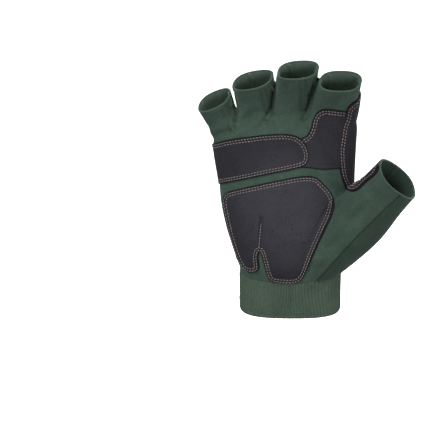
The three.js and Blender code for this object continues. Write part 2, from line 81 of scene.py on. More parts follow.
# finger sections: centre x, y, z, half width, half depth, squareness
FINGERS = {
    "index": dict(across=(1, 0.05, 0.16), lean=0.35, rows=[
        (22, 5.3, 118, 17.0, 11.0, 2.3), (29.0, 6.0, 145, 17.2, 12.0, 2.6),
        (31.2, 1.5, 156, 16.3, 11.0, 2.6), (33.7, -5.0, 165.5, 14.8, 9.6, 2.6)]),
    "middle": dict(across=(1, 0.05, 0.24), lean=0.4, rows=[
        (-1, 7, 118, 13, 13, 2.3), (1.2, 7.5, 147, 12.6, 12.0, 2.6),
        (3.7, 2.0, 161, 14.0, 10.5, 2.6), (5.4, -5.5, 173.5, 14.1, 9.0, 2.6)]),
    "ring": dict(across=(1, 0, 0.24), lean=0.4, rows=[
        (-24, 7, 115, 12.5, 12, 2.3), (-23.1, 8.0, 142, 12.1, 11.5, 2.6),
        (-24.1, 4.0, 155, 13.1, 10.5, 2.6), (-25.1, -2.0, 166.0, 13.6, 9.4, 2.6)]),
    "little": dict(across=(1, 0, 0.47), lean=0.35, rows=[
        (-38.5, 6.7, 108, 10.5, 10.2, 2.3), (-45.2, 8.5, 132, 9.0, 10.5, 2.6),
        (-48.8, 6.0, 143, 10.6, 10.0, 2.6), (-51.7, 1.5, 151.5, 11.8, 9.2, 2.6)]),
    "thumb": dict(across=(0.75, 0.3, -0.55), lean=0.0, rows=[
        (14, -4, 36, 19.5, 20, 2.3), (30, -9, 53, 21.0, 20, 2.3), (46, -17, 71, 20.8, 17.5, 2.4),
        (60.0, -26, 90, 17.4, 15.0, 2.5), (70.9, -34, 106, 16.4, 13.6, 2.5)]),
}
# side line between palm and back: height, y
SIDE_SEAM = [(-10, 0), (40, 0.2), (60, 0.3), (80, 1.5), (100, 3.5), (120, 5.0), (133, 5.5), (144, 7),
             (156, 2.5), (166, -4), (177, -11), (214, -36)]

# outlines drawn square to the tilted view of the palm: x, height
UPPER_PAD = [(-62, 115.3), (-52.1, 115.5), (-41.4, 117.9), (-29, 119.3), (-16.8, 120.8), (-3.4, 121.4),
             (3.9, 120.1), (8.8, 117.0), (11.8, 112.3), (13.1, 106.8), (12.4, 102.0), (9.4, 98.8),
             (-3.4, 95.9), (-16.8, 93.4), (-29.2, 90.7), (-41.7, 88.3), (-48.3, 87.3), (-62, 86)]
INDEX_PAD = [(36.8, 136.6), (29.3, 137.6), (22.6, 138.3), (17.9, 135.9), (15.3, 130.9), (14.0, 124.7),
             (11.6, 120.0), (6.8, 117.9), (5.0, 98.2), (12.3, 98.2), (22.3, 96.8), (34.1, 97.8),
             (46.0, 98.2), (46.0, 136.6)]
CROTCH_FRONT = [(62, 147.4), (48.2, 146.0), (44.0, 143.9), (39.8, 140.4), (38.1, 138.0), (37.1, 131.9),
                (35.0, 125.7), (33.9, 117.5), (32.9, 110.5), (33.2, 102.3), (34.1, 95.1), (35.6, 88.9),
                (38.7, 83.0), (41.9, 81.4), (46.3, 83.0), (50.7, 88.2), (56.7, 93.3), (59.5, 100.1),
                (62, 106), (72, 120)]
CROTCH_BACK = [(64, 156.5), (45.6, 155.5), (41.2, 152.2), (37.2, 144.0), (36.4, 135.1), (37.9, 120.2),
               (39.1, 108.1), (42.4, 98.4), (46.8, 95.6), (53.5, 95.0), (64, 98)]
HEEL_PAD = [(-45.1, 80.3), (-41.8, 82.4), (-16.9, 87.9), (6.3, 92.5), (13.7, 92.7), (18.5, 91.6),
            (22.3, 87.9), (27.3, 82.4), (30.3, 76.2), (30.7, 72.0), (28.8, 65.5), (24.6, 56.8),
            (19.9, 46.7), (16.2, 38.1), (12.6, 29.1), (9.6, 22.6), (6.5, 19.0), (1.4, 17.5),
            (-10.9, 18.2), (-14.7, 20.6), (-16.5, 25.3), (-18.0, 31.5), (-19.4, 37.0), (-20.9, 41.2),
            (-21.9, 37.0), (-20.9, 28.8), (-22.8, 26.0), (-27.4, 25.2), (-32.4, 27.2), (-36.2, 32.9),
            (-38.9, 40.5), (-42.0, 50.8), (-44.3, 61.0), (-46.0, 69.8), (-46.8, 76.1)]
THUMB_SEAM = [(80.6, 88.9), (70.0, 78.0), (60.2, 67.8), (48.7, 55.4), (37.0, 42.1), (27.6, 30.5),
              (19.6, 21.0), (15.4, 15.1), (15.4, -30), (134, -30), (134, 88.9)]
# upright outline: x, z
THUMB_BACK = [(40.0, -8), (40.4, 51.8), (41.3, 57), (42.9, 68.7), (44.9, 80.5), (44.9, 98.4), (48, 101.9),
              (134, 190), (134, -8)]
# side strips between fingers: height, left x, right x, depth y, slant; a low line and a high one
FOURCHETTES = {
    "index_middle": [(139.3, 11.7, 14.4, 6.5, 0.3), (175.0, 14.4, 24.0, -5.0, 0.62)],
    "middle_ring": [(139.3, -13.4, -10.4, 7.7, 0.3), (175.0, -14.9, -5.0, -4.3, 0.65)],
    "ring_little": [(131.1, -36.9, -33.8, 8.2, 0.3), (160.0, -43.7, -33.8, -1.0, 0.6)],
}
# folds of the palm on the tilted drawing: end x, height, other end x, height, half width, depth
FOLDS = [
    (-37.5, 125.5, -23.0, 136.0, 2.4, 1.7), (-14.0, 137.0, -20.5, 122.5, 2.4, 1.0),
    (10.5, 135.5, 4.5, 123.0, 2.2, 0.9), (-53.5, 118.8, -37.5, 125.5, 2.2, 1.6),
    (-39.0, 127.0, -44.0, 117.5, 1.8, 0.8), (-12.5, 137.0, -8.0, 124.5, 1.8, 0.7),
    (28.5, 90.0, 37.0, 78.0, 2.4, 1.0), (33.5, 70.0, 45.0, 79.5, 2.2, 0.9),
    (23.0, 38.0, 34.5, 53.0, 2.4, 0.9), (38.0, 59.0, 51.0, 73.0, 2.6, 0.9),
    (19.5, 27.0, 27.0, 37.0, 2.0, 0.8), (-31.5, 23.0, -37.5, 31.0, 1.8, 0.7),
    (-19.6, 151.5, -16.1, 136.0, 0.9, 0.9), (6.6, 156.0, 8.0, 139.0, 0.9, 0.9),
    (-46.4, 136.5, -39.0, 127.0, 0.9, 0.9), (51.0, 84.0, 61.0, 72.0, 2.6, 0.8),
    (10.0, 24.0, 16.0, 32.0, 1.8, 0.6),
]
# dark slots between the fingers on the tilted drawing: foot x, height, head x, height, depth
SLOTS = [
    (-37.4, 128.2, -38.6, 148.0, 8.0),
    (-13.2, 137.6, -10.8, 158.0, 11.0),
    (10.6, 136.3, 17.6, 157.0, 11.0),
]
# the stitched dart above the heel pad's notch, on the tilted drawing: x, height
PINCH = [(-21.4, 43.0), (-20.3, 55.5), (-19.4, 61.8), (-19.6, 64.5)]


# geometry; a cloth is its points, its triangles and extra values carried with the points
def unit(v):
    """Directions of length one."""
    return v / np.maximum(np.linalg.norm(v, axis=-1, keepdims=True), 1e-12)


def oval(centre, across, axis, half_width, half_depth, power, lean, sides):
    """A ring of points round a centre; lean shifts its far half sideways."""
    x = unit(across - axis * np.dot(across, axis))
    y = np.cross(axis, x)
    t = np.linspace(0, 2 * math.pi, sides, endpoint=False)
    u = np.sign(np.cos(t)) * np.abs(np.cos(t)) ** (2 / power) * half_width
    w = np.sign(np.sin(t)) * np.abs(np.sin(t)) ** (2 / power) * half_depth
    return centre + (u + lean * w)[:, None] * x + w[:, None] * y


def rim_frame(name):
    """Centre, outward axis, side and depth directions of a finger's rim."""
    centres = np.array(FINGERS[name]["rows"], float)[:, :3]
    axis = unit(centres[-1] - centres[-2])
    across = np.array(FINGERS[name]["across"], float)
    side = unit(across - axis * np.dot(across, axis))
    return centres[-1], axis, side, np.cross(axis, side)


def smooth_rows(rows, steps):
    """More rows between the given ones, on a smooth curve that passes through each of them."""
    rows = np.array(rows, float)
    ends = np.vstack([2 * rows[0] - rows[1], rows, 2 * rows[-1] - rows[-2]])
    out = []
    for i in range(1, len(ends) - 2):
        for k in range(steps):
            t = k / steps
            a, b, c, d = ends[i - 1:i + 3]
            out.append(0.5 * (2 * b + (c - a) * t + (2 * a - 5 * b + 4 * c - d) * t * t
                              + (3 * b - a - 3 * c + d) * t ** 3))
    out.append(rows[-1])
    return np.array(out)


def ring_faces(count, sides, closed=False):
    """Faces between rings of points, one ring after another; closed joins the last to the first."""
    faces = []
    for r in range(count if closed else count - 1):
        s = (r + 1) % count
        for i in range(sides):
            j = (i + 1) % sides
            faces.append((r * sides + i, r * sides + j, s * sides + j, s * sides + i))
    return faces


def loft_faces(count, sides):
    """Faces between rings of points, with a cap on each end."""
    caps = [tuple(reversed(range(sides))), tuple(range((count - 1) * sides, count * sides))]
    return ring_faces(count, sides) + caps


def join_parts(parts):
    """Several sets of points and faces as one."""
    points, faces, start = [], [], 0
    for part_points, part_faces in parts:
        points.append(part_points)
        faces.extend([tuple(int(k) + start for k in face) for face in part_faces])
        start += len(part_points)
    return np.vstack(points), faces


def palm_rings():
    """Level rings of the hand from inside the cuff up to the fingers."""
    across, upward = np.array([1.0, 0, 0]), np.array([0, 0, 1.0])
    return [oval(np.array([x, y, z]), across, upward, half_width, half_depth, power, 0, 96)
            for z, x, y, half_width, half_depth, power in smooth_rows(PALM_SECTIONS, 4)]


def finger_rings(name):
    """Rings of a finger, carried on past its rim so that the rim can be cut clean."""
    spec = FINGERS[name]
    rows = smooth_rows(spec["rows"], 5)
    last = rows[-1].copy()
    last[:3] += unit(rows[-1, :3] - rows[-2, :3]) * FINGER_EXCESS
    rows = np.vstack([rows, last])
    across = np.array(spec["across"], float)
    rings = []
    for i, row in enumerate(rows):
        axis = unit(rows[min(i + 1, len(rows) - 1), :3] - rows[max(i - 1, 0), :3])
        lean = 0 if i == 0 else spec["lean"]
        rings.append(oval(row[:3], across, axis, row[3], row[4], row[5], lean, 56))
    return rings


def merged_skin():
    """The hand form: overlapping closed tubes merged into one even skin."""
    tubes = [palm_rings()] + [finger_rings(name) for name in FINGERS]
    tube_points, faces = join_parts([(np.vstack(t), loft_faces(len(t), len(t[0]))) for t in tubes])
    mesh = bpy.data.meshes.new("hand_form")
    mesh.from_pydata(tube_points.tolist(), [], faces)
    holder = bpy.data.objects.new("hand_form", mesh)
    bpy.context.scene.collection.objects.link(holder)
    remesh = holder.modifiers.new("even", "REMESH")
    remesh.mode = "VOXEL"
    remesh.voxel_size = SKIN_STEP
    depsgraph = bpy.context.evaluated_depsgraph_get()
    evaluated = holder.evaluated_get(depsgraph).to_mesh()
    points = np.empty(len(evaluated.vertices) * 3)
    evaluated.vertices.foreach_get("co", points)
    evaluated.calc_loop_triangles()
    triangles = np.empty(len(evaluated.loop_triangles) * 3, np.int32)
    evaluated.loop_triangles.foreach_get("vertices", triangles)
    holder.evaluated_get(depsgraph).to_mesh_clear()
    bpy.data.objects.remove(holder)
    bpy.data.meshes.remove(mesh)
    return points.reshape(-1, 3), triangles.reshape(-1, 3)


def edge_pairs(triangles):
    """The three edges of every triangle, each in its own direction."""
    return np.concatenate([triangles[:, [0, 1]], triangles[:, [1, 2]], triangles[:, [2, 0]]])


def edges_of(triangles):
    """Each edge once, with the number of triangles that share it."""
    return np.unique(np.sort(edge_pairs(triangles), axis=1), axis=0, return_counts=True)


def open_edges(triangles):
    """Edges that only one triangle has, in its direction."""
    keys = {(int(a), int(b)) for a, b in edge_pairs(triangles)}
    return [(a, b) for a, b in keys if (b, a) not in keys]


def relax(points, triangles, rounds):
    """Evens a closed mesh: each point moves halfway toward its neighbours' mean."""
    pairs, _ = edges_of(triangles)
    count = len(points)
    degree = np.bincount(pairs.ravel(), minlength=count).astype(float)
    for _ in range(rounds):
        total = np.zeros_like(points)
        for axis in range(3):
            total[:, axis] = (np.bincount(pairs[:, 0], points[pairs[:, 1], axis], count)
                              + np.bincount(pairs[:, 1], points[pairs[:, 0], axis], count))
        points = (points + total / np.maximum(degree, 1)[:, None]) / 2
    return points


def normals_of(points, triangles):
    """The direction off a mesh at each of its points."""
    a, b, c = (points[triangles[:, k]] for k in range(3))
    face = np.cross(b - a, c - a)
    out = np.zeros_like(points)
    for axis in range(3):
        for k in range(3):
            out[:, axis] += np.bincount(triangles[:, k], face[:, axis], len(points))
    return unit(out)


def crossed(triangles, inside):
    """Triangles with corners on both sides: the corner that is alone, the other two, and whether
    the one that is alone is inside."""
    marks = inside[triangles]
    total = marks.sum(axis=1)
    for index in np.nonzero((total == 1) | (total == 2))[0]:
        alone = bool(total[index] == 1)
        k = int(np.nonzero(marks[index] == alone)[0][0])
        a, b, c = (int(triangles[index, (k + step) % 3]) for step in range(3))
        yield a, b, c, alone


def clip(cloth, values):
    """Cuts a cloth along the zero line of values: the positive part and the negative part."""
    points, triangles, extra = cloth
    crossings = {}
    new_points, new_extra = [], []

    def crossing(i, j):
        key = (i, j) if i < j else (j, i)
        if key not in crossings:
            a, b = key
            t = values[a] / (values[a] - values[b])
            t = min(max(t, 1e-4), 1 - 1e-4)
            crossings[key] = len(points) + len(new_points)
            new_points.append(points[a] + (points[b] - points[a]) * t)
            new_extra.append(extra[a] + (extra[b] - extra[a]) * t)
        return crossings[key]

    inside = values >= 0
    whole = {True: triangles[inside[triangles].all(axis=1)],
             False: triangles[(~inside[triangles]).all(axis=1)]}
    cut = {True: [], False: []}
    for a, b, c, alone in crossed(triangles, inside):
        ab, ac = crossing(a, b), crossing(a, c)
        cut[alone].append((a, ab, ac))
        cut[not alone].extend([(ab, b, c), (ab, c, ac)])
    all_points = np.vstack([points, np.array(new_points).reshape(-1, 3)])
    all_extra = np.vstack([extra, np.array(new_extra).reshape(-1, extra.shape[1])])
    return [compact(all_points, np.vstack([whole[side], np.array(cut[side], int).reshape(-1, 3)]), all_extra)
            for side in (True, False)]


def compact(points, triangles, extra):
    """Leaves out the points that no triangle uses."""
    used, inverse = np.unique(triangles.ravel(), return_inverse=True)
    return points[used], inverse.reshape(-1, 3), extra[used]


def largest(cloth, least):
    """Drops crumbs: only connected pieces with enough triangles stay."""
    points, triangles, extra = cloth
    parent = np.arange(len(points))

    def find(i):
        while parent[i] != i:
            parent[i] = parent[parent[i]]
            i = parent[i]
        return i

    for a, b, c in triangles:
        first, second, third = find(a), find(b), find(c)
        parent[second] = first
        parent[find(third)] = first
    roots = np.array([find(i) for i in triangles[:, 0]])
    names, counts = np.unique(roots, return_counts=True)
    good = set(names[counts >= least])
    return compact(points, triangles[np.array([r in good for r in roots])], extra)


def along_segment(x, y, ax, ay, bx, by):
    """How far along a straight line each point lies, from 0 to 1, and its distance from the line."""
    ex, ey = bx - ax, by - ay
    t = np.clip(((x - ax) * ex + (y - ay) * ey) / (ex * ex + ey * ey + 1e-12), 0, 1)
    return t, np.hypot(x - ax - ex * t, y - ay - ey * t)


def polygon_distance(outline, x, y):
    """Signed distance to an outline, positive inside."""
    px, py = np.array(outline, float).T
    qx, qy = np.roll(px, -1), np.roll(py, -1)
    best = np.full(len(x), FAR)
    inside = np.zeros(len(x), bool)
    for ax, ay, bx, by in zip(px, py, qx, qy):
        best = np.minimum(best, along_segment(x, y, ax, ay, bx, by)[1])
        crosses = (ay > y) != (by > y)
        with np.errstate(divide="ignore", invalid="ignore"):
            inside ^= crosses & (x < (bx - ax) * (y - ay) / (by - ay) + ax)
    return np.where(inside, best, -best)


def rounded(outline, rounds=2):
    """Corner cutting, so that an outline of few points bends smoothly."""
    pts = np.array(outline, float)
    for _ in range(rounds):
        nxt = np.roll(pts, -1, axis=0)
        pts = np.stack([pts * 0.78 + nxt * 0.22, pts * 0.22 + nxt * 0.78], axis=1).reshape(-1, 2)
    return pts


def boundary_loops(triangles):
    """Closed chains of points along the open edges of a mesh, in order."""
    follow = dict(open_edges(triangles))
    loops = []
    while follow:
        start, following = next(iter(follow.items()))
        chain = [start]
        del follow[start]
        while following in follow:
            chain.append(following)
            following = follow.pop(following)
        loops.append(chain)
    return loops


def iso_lines(cloth, values, level):
    """Chains of surface points and normals along the line where values equal level."""
    points, triangles, _ = cloth
    normals = normals_of(points, triangles)
    above = values - level
    above = np.where(np.abs(above) < 1e-9, 1e-9, above)
    ends = {}
    nodes = {}

    def node(i, j):
        key = (i, j) if i < j else (j, i)
        if key not in nodes:
            a, b = key
            t = above[a] / (above[a] - above[b])
            nodes[key] = (points[a] + (points[b] - points[a]) * t,
                          normals[a] + (normals[b] - normals[a]) * t)
        return key

    for a, b, c, _ in crossed(triangles, above > 0):
        p, q = node(a, b), node(a, c)
        ends.setdefault(p, []).append(q)
        ends.setdefault(q, []).append(p)
    chains = []
    # open chains first, from one of their ends
    starts = [key for key, linked in ends.items() if len(linked) == 1] + list(ends)
    seen = set()
    for start in starts:
        if start in seen:
            continue
        chain, here = [start], start
        seen.add(start)
        while True:
            options = [k for k in ends[here] if k not in seen]
            if not options:
                break
            here = options[0]
            seen.add(here)
            chain.append(here)
        if start in ends[here] and len(chain) > 2:
            chain.append(start)
        if len(chain) > 3:
            path, facing = (np.array(column) for column in zip(*[nodes[key] for key in chain]))
            chains.append((path, unit(facing)))
    return chains


def point_tree(targets):
    """A search tree that finds the nearest of many points."""
    tree = kdtree.KDTree(len(targets))
    for i, target in enumerate(targets):
        tree.insert(target, i)
    tree.balance()
    return tree


def nearest_distance(points, targets):
    """Distance from each point to the nearest target."""
    if len(targets) == 0:
        return np.full(len(points), FAR)
    tree = point_tree(targets)
    return np.array([tree.find(point)[2] for point in points])


def divided(cloth):
    """Each triangle split in four."""
    points, triangles, extra = cloth
    edges = np.sort(edge_pairs(triangles), axis=1)
    pairs, inverse = np.unique(edges, axis=0, return_inverse=True)
    inverse = inverse.reshape(-1)
    n, m = len(points), len(triangles)
    ab, bc, ca = inverse[:m] + n, inverse[m:2 * m] + n, inverse[2 * m:] + n
    mid = (points[pairs[:, 0]] + points[pairs[:, 1]]) / 2
    mid_extra = (extra[pairs[:, 0]] + extra[pairs[:, 1]]) / 2
    a, b, c = triangles.T
    quarters = ((a, ab, ca), (ab, b, bc), (ca, bc, c), (ab, bc, ca))
    tris = np.concatenate([np.stack(corners, axis=1) for corners in quarters])
    return np.vstack([points, mid]), tris, np.vstack([extra, mid_extra])


def running_length(path):
    """The length of a path up to each of its points."""
    return np.concatenate([[0], np.cumsum(np.linalg.norm(np.diff(path, axis=0), axis=1))])


def read_along(values, lengths, at):
    """Rows of values, known at some lengths along a path, read off at others."""
    return np.stack([np.interp(at, lengths, column) for column in values.T], axis=1)


def resampled(path, normals, spacing):
    """Points, normals and directions at an even spacing along a path."""
    lengths = running_length(path)
    count = max(int(lengths[-1] / spacing), 1)
    at = (np.arange(count) + 0.5) * lengths[-1] / count
    ahead = read_along(path, lengths, np.minimum(at + 0.4, lengths[-1]))
    behind = read_along(path, lengths, np.maximum(at - 0.4, 0))
    facing = unit(read_along(normals, lengths, at))
    return read_along(path, lengths, at), facing, unit(ahead - behind)


def smooth_chain(path, rounds=3):
    """Evens a path between its fixed ends."""
    path = path.copy()
    for _ in range(rounds):
        path[1:-1] = path[1:-1] * 0.5 + (path[:-2] + path[2:]) * 0.25
    return path


def grid_triangles(rows, cols):
    """Triangles of a sheet whose points stand in rows."""
    a = (np.arange(rows - 1)[:, None] * cols + np.arange(cols - 1)[None, :]).ravel()
    lower = np.stack([a, a + 1, a + cols + 1], axis=1)
    upper = np.stack([a, a + cols + 1, a + cols], axis=1)
    return np.concatenate([lower, upper])


def facing_out(points, triangles, outward):
    """Turns a sheet's triangles over if they face inward."""
    inward = (normals_of(points, triangles) * outward).sum() < 0
    return triangles[:, ::-1] if inward else triangles


def thick(outer, inner, triangles):
    """A closed shell between an outer face and an inner one, joined along their open edges."""
    count = len(outer)
    sides = []
    for a, b in open_edges(triangles):
        sides.append((b, a, a + count))
        sides.append((b, a + count, b + count))
    tris = [triangles, triangles[:, ::-1] + count, np.array(sides, int).reshape(-1, 3)]
    return np.vstack([outer, inner]), np.vstack(tris)


def rolled_edge(path, normals, half_width, half_height, sides=10):
    """A rounded roll of cloth along a closed path; the normals point off the surface."""
    along = unit(np.roll(path, -1, axis=0) - np.roll(path, 1, axis=0))
    across = unit(np.cross(along, normals))
    up = np.cross(across, along)
    t = np.linspace(0, 2 * math.pi, sides, endpoint=False)
    rings = (path[:, None, :] + np.cos(t)[None, :, None] * half_width * across[:, None, :]
             + np.sin(t)[None, :, None] * half_height * up[:, None, :])
    faces = ring_faces(len(path), sides, closed=True)
    return rings.reshape(-1, 3), [tuple(reversed(face)) for face in faces]


def stitches_along(chains):
    """Short arched threads laid end to end along chains of surface points."""
    rings, sides, lift = 5, 6, 0.08
    shape = np.linspace(-1, 1, rings)
    bulge = np.sqrt(np.maximum(1 - (shape * 0.93) ** 2, 0.02)) ** 0.7
    arch = (1 - shape ** 2) * 0.2 - 0.1
    t = np.linspace(0, 2 * math.pi, sides, endpoint=False)
    faces = [tuple(reversed(face)) for face in loft_faces(rings, sides)]
    parts = []
    for path, normals in chains:
        if running_length(path)[-1] < STITCH_PITCH * 2:
            continue
        at, up, along = resampled(smooth_chain(path), normals, STITCH_PITCH)
        across = unit(np.cross(along, up))
        for p, n, a, c in zip(at, up, along, across):
            middle = p + n * lift + shape[:, None, None] * a * STITCH_LENGTH / 2 + arch[:, None, None] * n
            around = np.cos(t)[None, :, None] * c + np.sin(t)[None, :, None] * n
            thread = middle + bulge[:, None, None] * THREAD_RADIUS * around
            parts.append((thread.reshape(-1, 3), faces))
    return join_parts(parts)


def piece(name, points, faces, material, slot, replaced=()):
    """A finished object from points in millimetres."""
    mesh = bpy.data.meshes.new(name)
    mesh.from_pydata((np.asarray(points) * MM).tolist(), [], [tuple(int(k) for k in f) for f in faces])
    mesh.validate()
    mesh.polygons.foreach_set("use_smooth", [True] * len(mesh.polygons))
    mesh.materials.append(material)
    obj = bpy.data.objects.new(name, mesh)
    bpy.context.scene.collection.objects.link(obj)
    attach(obj, "root")
    if replaced:
        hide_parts(*replaced)
    return obj


# materials
def linear(hex_colour):
    """An sRGB hex colour as the linear values that a shader takes."""
    parts = [int(hex_colour[i:i + 2], 16) / 255 for i in (1, 3, 5)]
    return [v / 12.92 if v <= 0.04045 else ((v + 0.055) / 1.055) ** 2.4 for v in parts] + [1.0]


def new_material(name):
    """An empty material that nodes are added to."""
    material = bpy.data.materials.new(name)
    material.use_nodes = True
    material.node_tree.nodes.clear()
    return material


def texture_scale(size):
    """The scale that makes a texture's pattern this many millimetres wide."""
    return 1 / (size * MM)


def band_scale(spacing):
    """The scale that sets a wave texture's bands this many millimetres apart."""
    return 2 * math.pi / 20 / (spacing * MM)


def add(material, kind, settings=None, inputs=None):
    """One node with its settings; colour stops are (place, hex colour or grey) pairs, and an input
    given as (node, output) is linked."""
    tree = material.node_tree
    made = tree.nodes.new(kind)
    for key, value in (settings or {}).items():
        if key != "stops":
            setattr(made, key, value)
            continue
        elements = made.color_ramp.elements
        while len(elements) < len(value):
            elements.new(0.5)
        for element, (place, colour) in zip(elements, value):
            element.position = place
            element.color = linear(colour) if isinstance(colour, str) else (colour, colour, colour, 1)
    for key, value in (inputs or {}).items():
        socket = made.inputs[key]
        if isinstance(value, tuple) and len(value) == 2 and hasattr(value[0], "outputs"):
            tree.links.new(value[0].outputs[value[1]], socket)
        else:
            socket.default_value = value
    return made


def cloth_shader(material, colour, roughness, sheen, sheen_tint, height=None, depth=0.3, specular=0.35):
    """The surface shader of a cloth or leather: its colour, relief and soft edge light."""
    inputs = {"Base Color": colour, "Roughness": roughness, "Sheen Weight": sheen, "Sheen Roughness": 0.5,
              "Sheen Tint": linear(sheen_tint), "Specular IOR Level": specular, "IOR": 1.5}
    if height is not None:
        bump = add(material, "ShaderNodeBump",
                   inputs={"Height": height, "Strength": 1.0, "Distance": depth * MM})
        inputs["Normal"] = (bump, "Normal")
    surface = add(material, "ShaderNodeBsdfPrincipled", inputs=inputs)
    add(material, "ShaderNodeOutputMaterial", inputs={"Surface": (surface, "BSDF")})
    return material


def suede(name, low, mid, high, nap=0.55):
    """Synthetic suede, napped and dyed: soft cloudy patches where the nap lies either way, no gloss."""
    m = new_material(name)
    place = add(m, "ShaderNodeTexCoord")
    # the nap lies in patches about 22 mm across
    clouds = add(m, "ShaderNodeTexNoise",
                 inputs={"Vector": (place, "Object"), "Scale": texture_scale(22.2), "Detail": 5.0,
                         "Roughness": 0.6, "Distortion": 0.4})
    # fibres are about 0.05 mm thick; drawn at 0.7 mm so that the nap shows
    fibres = add(m, "ShaderNodeTexNoise",
                 inputs={"Vector": (place, "Object"), "Scale": texture_scale(0.714), "Detail": 3.0,
                         "Roughness": 0.65})
    share = add(m, "ShaderNodeMath", {"operation": "MULTIPLY"}, {0: (fibres, "Fac"), 1: nap})
    both = add(m, "ShaderNodeMath", {"operation": "MULTIPLY_ADD"},
               {0: (clouds, "Fac"), 1: 1 - nap, 2: (share, "Value")})
    colour = add(m, "ShaderNodeValToRGB", {"stops": [(0.3, low), (0.5, mid), (0.72, high)]},
                 {"Fac": (both, "Value")})
    return cloth_shader(m, (colour, "Color"), 0.95, 0.25, "#8fa796", (fibres, "Fac"), 0.25, 0.15)


def ribbed_knit():
    """Stretch knit, warp knitted in fine cross ribs: thin light ridges with dark valleys between."""
    m = new_material("ribbed_stretch_knit")
    place = add(m, "ShaderNodeTexCoord")
    # ribs 1.6 mm apart along the hand
    wave = add(m, "ShaderNodeTexWave",
               {"wave_type": "BANDS", "bands_direction": "Z", "wave_profile": "SIN"},
               {"Vector": (place, "Object"), "Scale": band_scale(1.6), "Distortion": 1.1,
                "Detail": 1.0, "Detail Scale": 1.2})
    # yarn loops are about 0.3 mm; drawn at 1.1 mm so that they show
    loops = add(m, "ShaderNodeTexNoise",
                inputs={"Vector": (place, "Object"), "Scale": texture_scale(1.11), "Detail": 2.0})
    clouds = add(m, "ShaderNodeTexNoise",
                 inputs={"Vector": (place, "Object"), "Scale": texture_scale(16.7), "Detail": 3.0})
    height = add(m, "ShaderNodeMath", {"operation": "MULTIPLY_ADD"},
                 {0: (loops, "Fac"), 1: 0.35, 2: (wave, "Fac")})
    tone = add(m, "ShaderNodeMath", {"operation": "MULTIPLY_ADD"},
               {0: (wave, "Fac"), 1: 0.5, 2: (loops, "Fac")})
    shade = add(m, "ShaderNodeMath", {"operation": "MULTIPLY_ADD"},
                {0: (clouds, "Fac"), 1: 0.35, 2: (tone, "Value")})
    colour = add(m, "ShaderNodeValToRGB",
                 {"stops": [(0.45, "#1a261f"), (0.85, "#24332b"), (0.96, "#2f3e36")]},
                 {"Fac": (shade, "Value")})
    return cloth_shader(m, (colour, "Color"), 0.9, 0.15, "#7f9588", (height, "Value"), 0.3, 0.2)


def elastic(name, low, high):
    """Knitted elastic: covered rubber threads pull the yarn into upright ribs."""
    m = new_material(name)
    place = add(m, "ShaderNodeTexCoord")
    # yarn loops about 0.9 mm, in rows 1.1 mm apart
    yarn = add(m, "ShaderNodeTexNoise",
               inputs={"Vector": (place, "Object"), "Scale": texture_scale(0.909), "Detail": 3.0})
    rows = add(m, "ShaderNodeTexWave", {"wave_type": "BANDS", "bands_direction": "Z"},
               {"Vector": (place, "Object"), "Scale": band_scale(1.1), "Distortion": 1.5, "Detail": 1.0})
    clouds = add(m, "ShaderNodeTexNoise",
                 inputs={"Vector": (place, "Object"), "Scale": texture_scale(14.3), "Detail": 3.0})
    height = add(m, "ShaderNodeMath", {"operation": "MULTIPLY_ADD"},
                 {0: (rows, "Fac"), 1: 0.3, 2: (yarn, "Fac")})
    tone = add(m, "ShaderNodeMath", {"operation": "MULTIPLY_ADD"},
               {0: (clouds, "Fac"), 1: 0.5, 2: (yarn, "Fac")})
    colour = add(m, "ShaderNodeValToRGB", {"stops": [(0.45, low), (1.0, high)]}, {"Fac": (tone, "Value")})
    return cloth_shader(m, (colour, "Color"), 0.88, 0.2, "#9db3a2", (height, "Value"), 0.3, 0.25)


